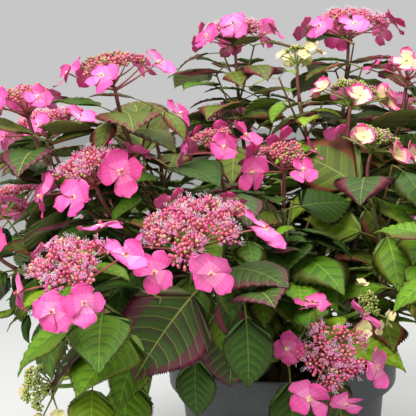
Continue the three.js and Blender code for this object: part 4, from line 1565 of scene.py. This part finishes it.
def setTinyFlowers(opened):
    flower = makeTinyFlower()
    carrier = pointCarrier("openSpots", opened.pop("points"), opened)
    recipe = Recipe("setTinyFlowers", {"Tiny Flower": ("Object", None)})
    add = recipe.bench.add
    shape = add("GeometryNodeObjectInfo", None, {"Object": recipe.given("Tiny Flower")}, 4)
    spin = add("FunctionNodeAxisAngleToRotation", None,
               {"Axis": (0, 0, 1), "Angle": recipe.stored("turn")})
    facing = add("FunctionNodeRotateRotation", {"rotation_space": "LOCAL"},
                 {0: recipe.facing(), 1: spin})
    shape = recipe.dealOut(shape, facing, recipe.stored("size"))
    recipe.end(shape, plainFinishes(tinyFlowerTints), recipe.stored("part", "INT"))
    made = recipe.run(carrier, "open_flowers", {"Tiny Flower": flower})
    bpy.data.objects.remove(flower)
    ridesPot(made, "foliage")


tinyFlowerTints = {
    "fertilePetal": (214, 106, 168), "filament": (238, 196, 220), "anther": (244, 238, 232),
    "calyxCup": (206, 112, 136),
}
tinyFlowerLook = {
    "petals": 5, "petal": 2.6, "stamens": 6, "stamen": (4.2, 6.2), "cup": 1.15,
    "filament": (0.17, 0.14), "anther": 0.48, "seed": 12,
}


def makeTinyFlower():
    # Petals bent back from a small cup, with long stamens that end in pale anthers.
    look, heap = tinyFlowerLook, Heap()
    draw = np.random.default_rng(look["seed"])
    petal, filament, anther, cup = range(len(tinyFlowerTints))
    button(heap, np.zeros(3), upward, look["cup"], cup, 0.9, 5)
    for k in range(look["petals"]):
        turn = k * 2 * math.pi / look["petals"] / radians
        ahead, beside = polar(turn, 1, 0), polar(turn + 90, 1, 0)
        foot, middle = ahead * 0.6 + upward * 0.7, ahead * 1.7 + upward * 0.9
        points = [foot + beside * 0.5, foot - beside * 0.5, middle - beside * 0.75,
                  ahead * look["petal"] + upward * 0.2, middle + beside * 0.75]
        heap.put(points, [(0, 1, 2, 3, 4)], [petal])
    for k in range(look["stamens"]):
        turn = k * 360 / look["stamens"] + draw.uniform(-14, 14)
        length = draw.uniform(*look["stamen"])
        tip = polar(turn, length * draw.uniform(0.3, 0.6), length)
        heap.tube([upward * 0.6, tip], look["filament"], 3, filament)
        ring = roundAbout(tip, polar(0, 1, 0), polar(90, 1, 0), look["anther"], 3)
        faces = [(0, 1 + (i + 1) % 3, 1 + i) for i in range(3)]
        faces += [(4, 1 + i, 1 + (i + 1) % 3) for i in range(3)]
        heap.put(np.vstack([tip - upward * 0.4, ring, tip + upward * 0.45]), faces, [anther] * 6)
    flower = heap.piece("tinyFlower", [])
    part = flower.data.attributes.new("part", "INT", "FACE")
    part.data.foreach_set("value", heap.slots)
    return flower


makeCorymbs()
print("corymbs made")


studio = {
    "floor": 16.0, "paper": (198, 199, 197), "paperRoughness": 0.85, "world": (232, 233, 232),
    "worldStrength": 0.7, "aim": (0, 0, 0.4),
    "key": {"place": (-0.9, -1.5, 2.3), "size": 1.6, "power": 70},
    "top": {"place": (0.4, 0.4, 2.4), "size": 2.2, "power": 45},
    "eye": (-0.085, -1.15, 0.535), "pitch": 6.5, "roll": -2.0, "pixels": 943, "frame": 416,
    "sensor": 36, "clip": (0.05, 30),
}


def makeLight(name, place, size, power):
    light = bpy.data.lights.new(name, "AREA")
    light.shape, light.size, light.energy = "DISK", size, power
    lamp = newObject(name, light)
    lamp.location = place
    aim = Vector(studio["aim"]) - Vector(place)
    lamp.rotation_euler = aim.to_track_quat("-Z", "Y").to_euler()


def makeStudio():
    mesh = bpy.data.meshes.new("floor")
    corners = [(x, y, 0) for x, y in ((-1, -1), (1, -1), (1, 1), (-1, 1))]
    mesh.from_pydata(np.array(corners) * studio["floor"], [], [(0, 1, 2, 3)])
    mesh.materials.append(plainFinish("floorPaper", studio["paper"], studio["paperRoughness"]))
    newObject("floor", mesh)
    world = bpy.data.worlds.new("studioAir")
    world.use_nodes = True
    back = world.node_tree.nodes["Background"]
    back.inputs["Color"].default_value = srgb(*studio["world"])
    back.inputs["Strength"].default_value = studio["worldStrength"]
    bpy.context.scene.world = world
    for name in ("key", "top"):
        makeLight(name, **studio[name])
    bpy.context.scene.view_settings.view_transform = "Standard"
    lens = bpy.data.cameras.new("camera")
    lens.sensor_width = studio["sensor"]
    lens.clip_start, lens.clip_end = studio["clip"]
    lens.lens = studio["pixels"] / studio["frame"] * studio["sensor"]
    camera = newObject("camera", lens)
    pitch = Matrix.Rotation((90 - studio["pitch"]) * radians, 4, "X")
    roll = Matrix.Rotation(studio["roll"] * radians, 4, "Z")
    camera.matrix_world = Matrix.Translation(studio["eye"]) @ pitch @ roll
    bpy.context.scene.camera = camera


makeStudio()
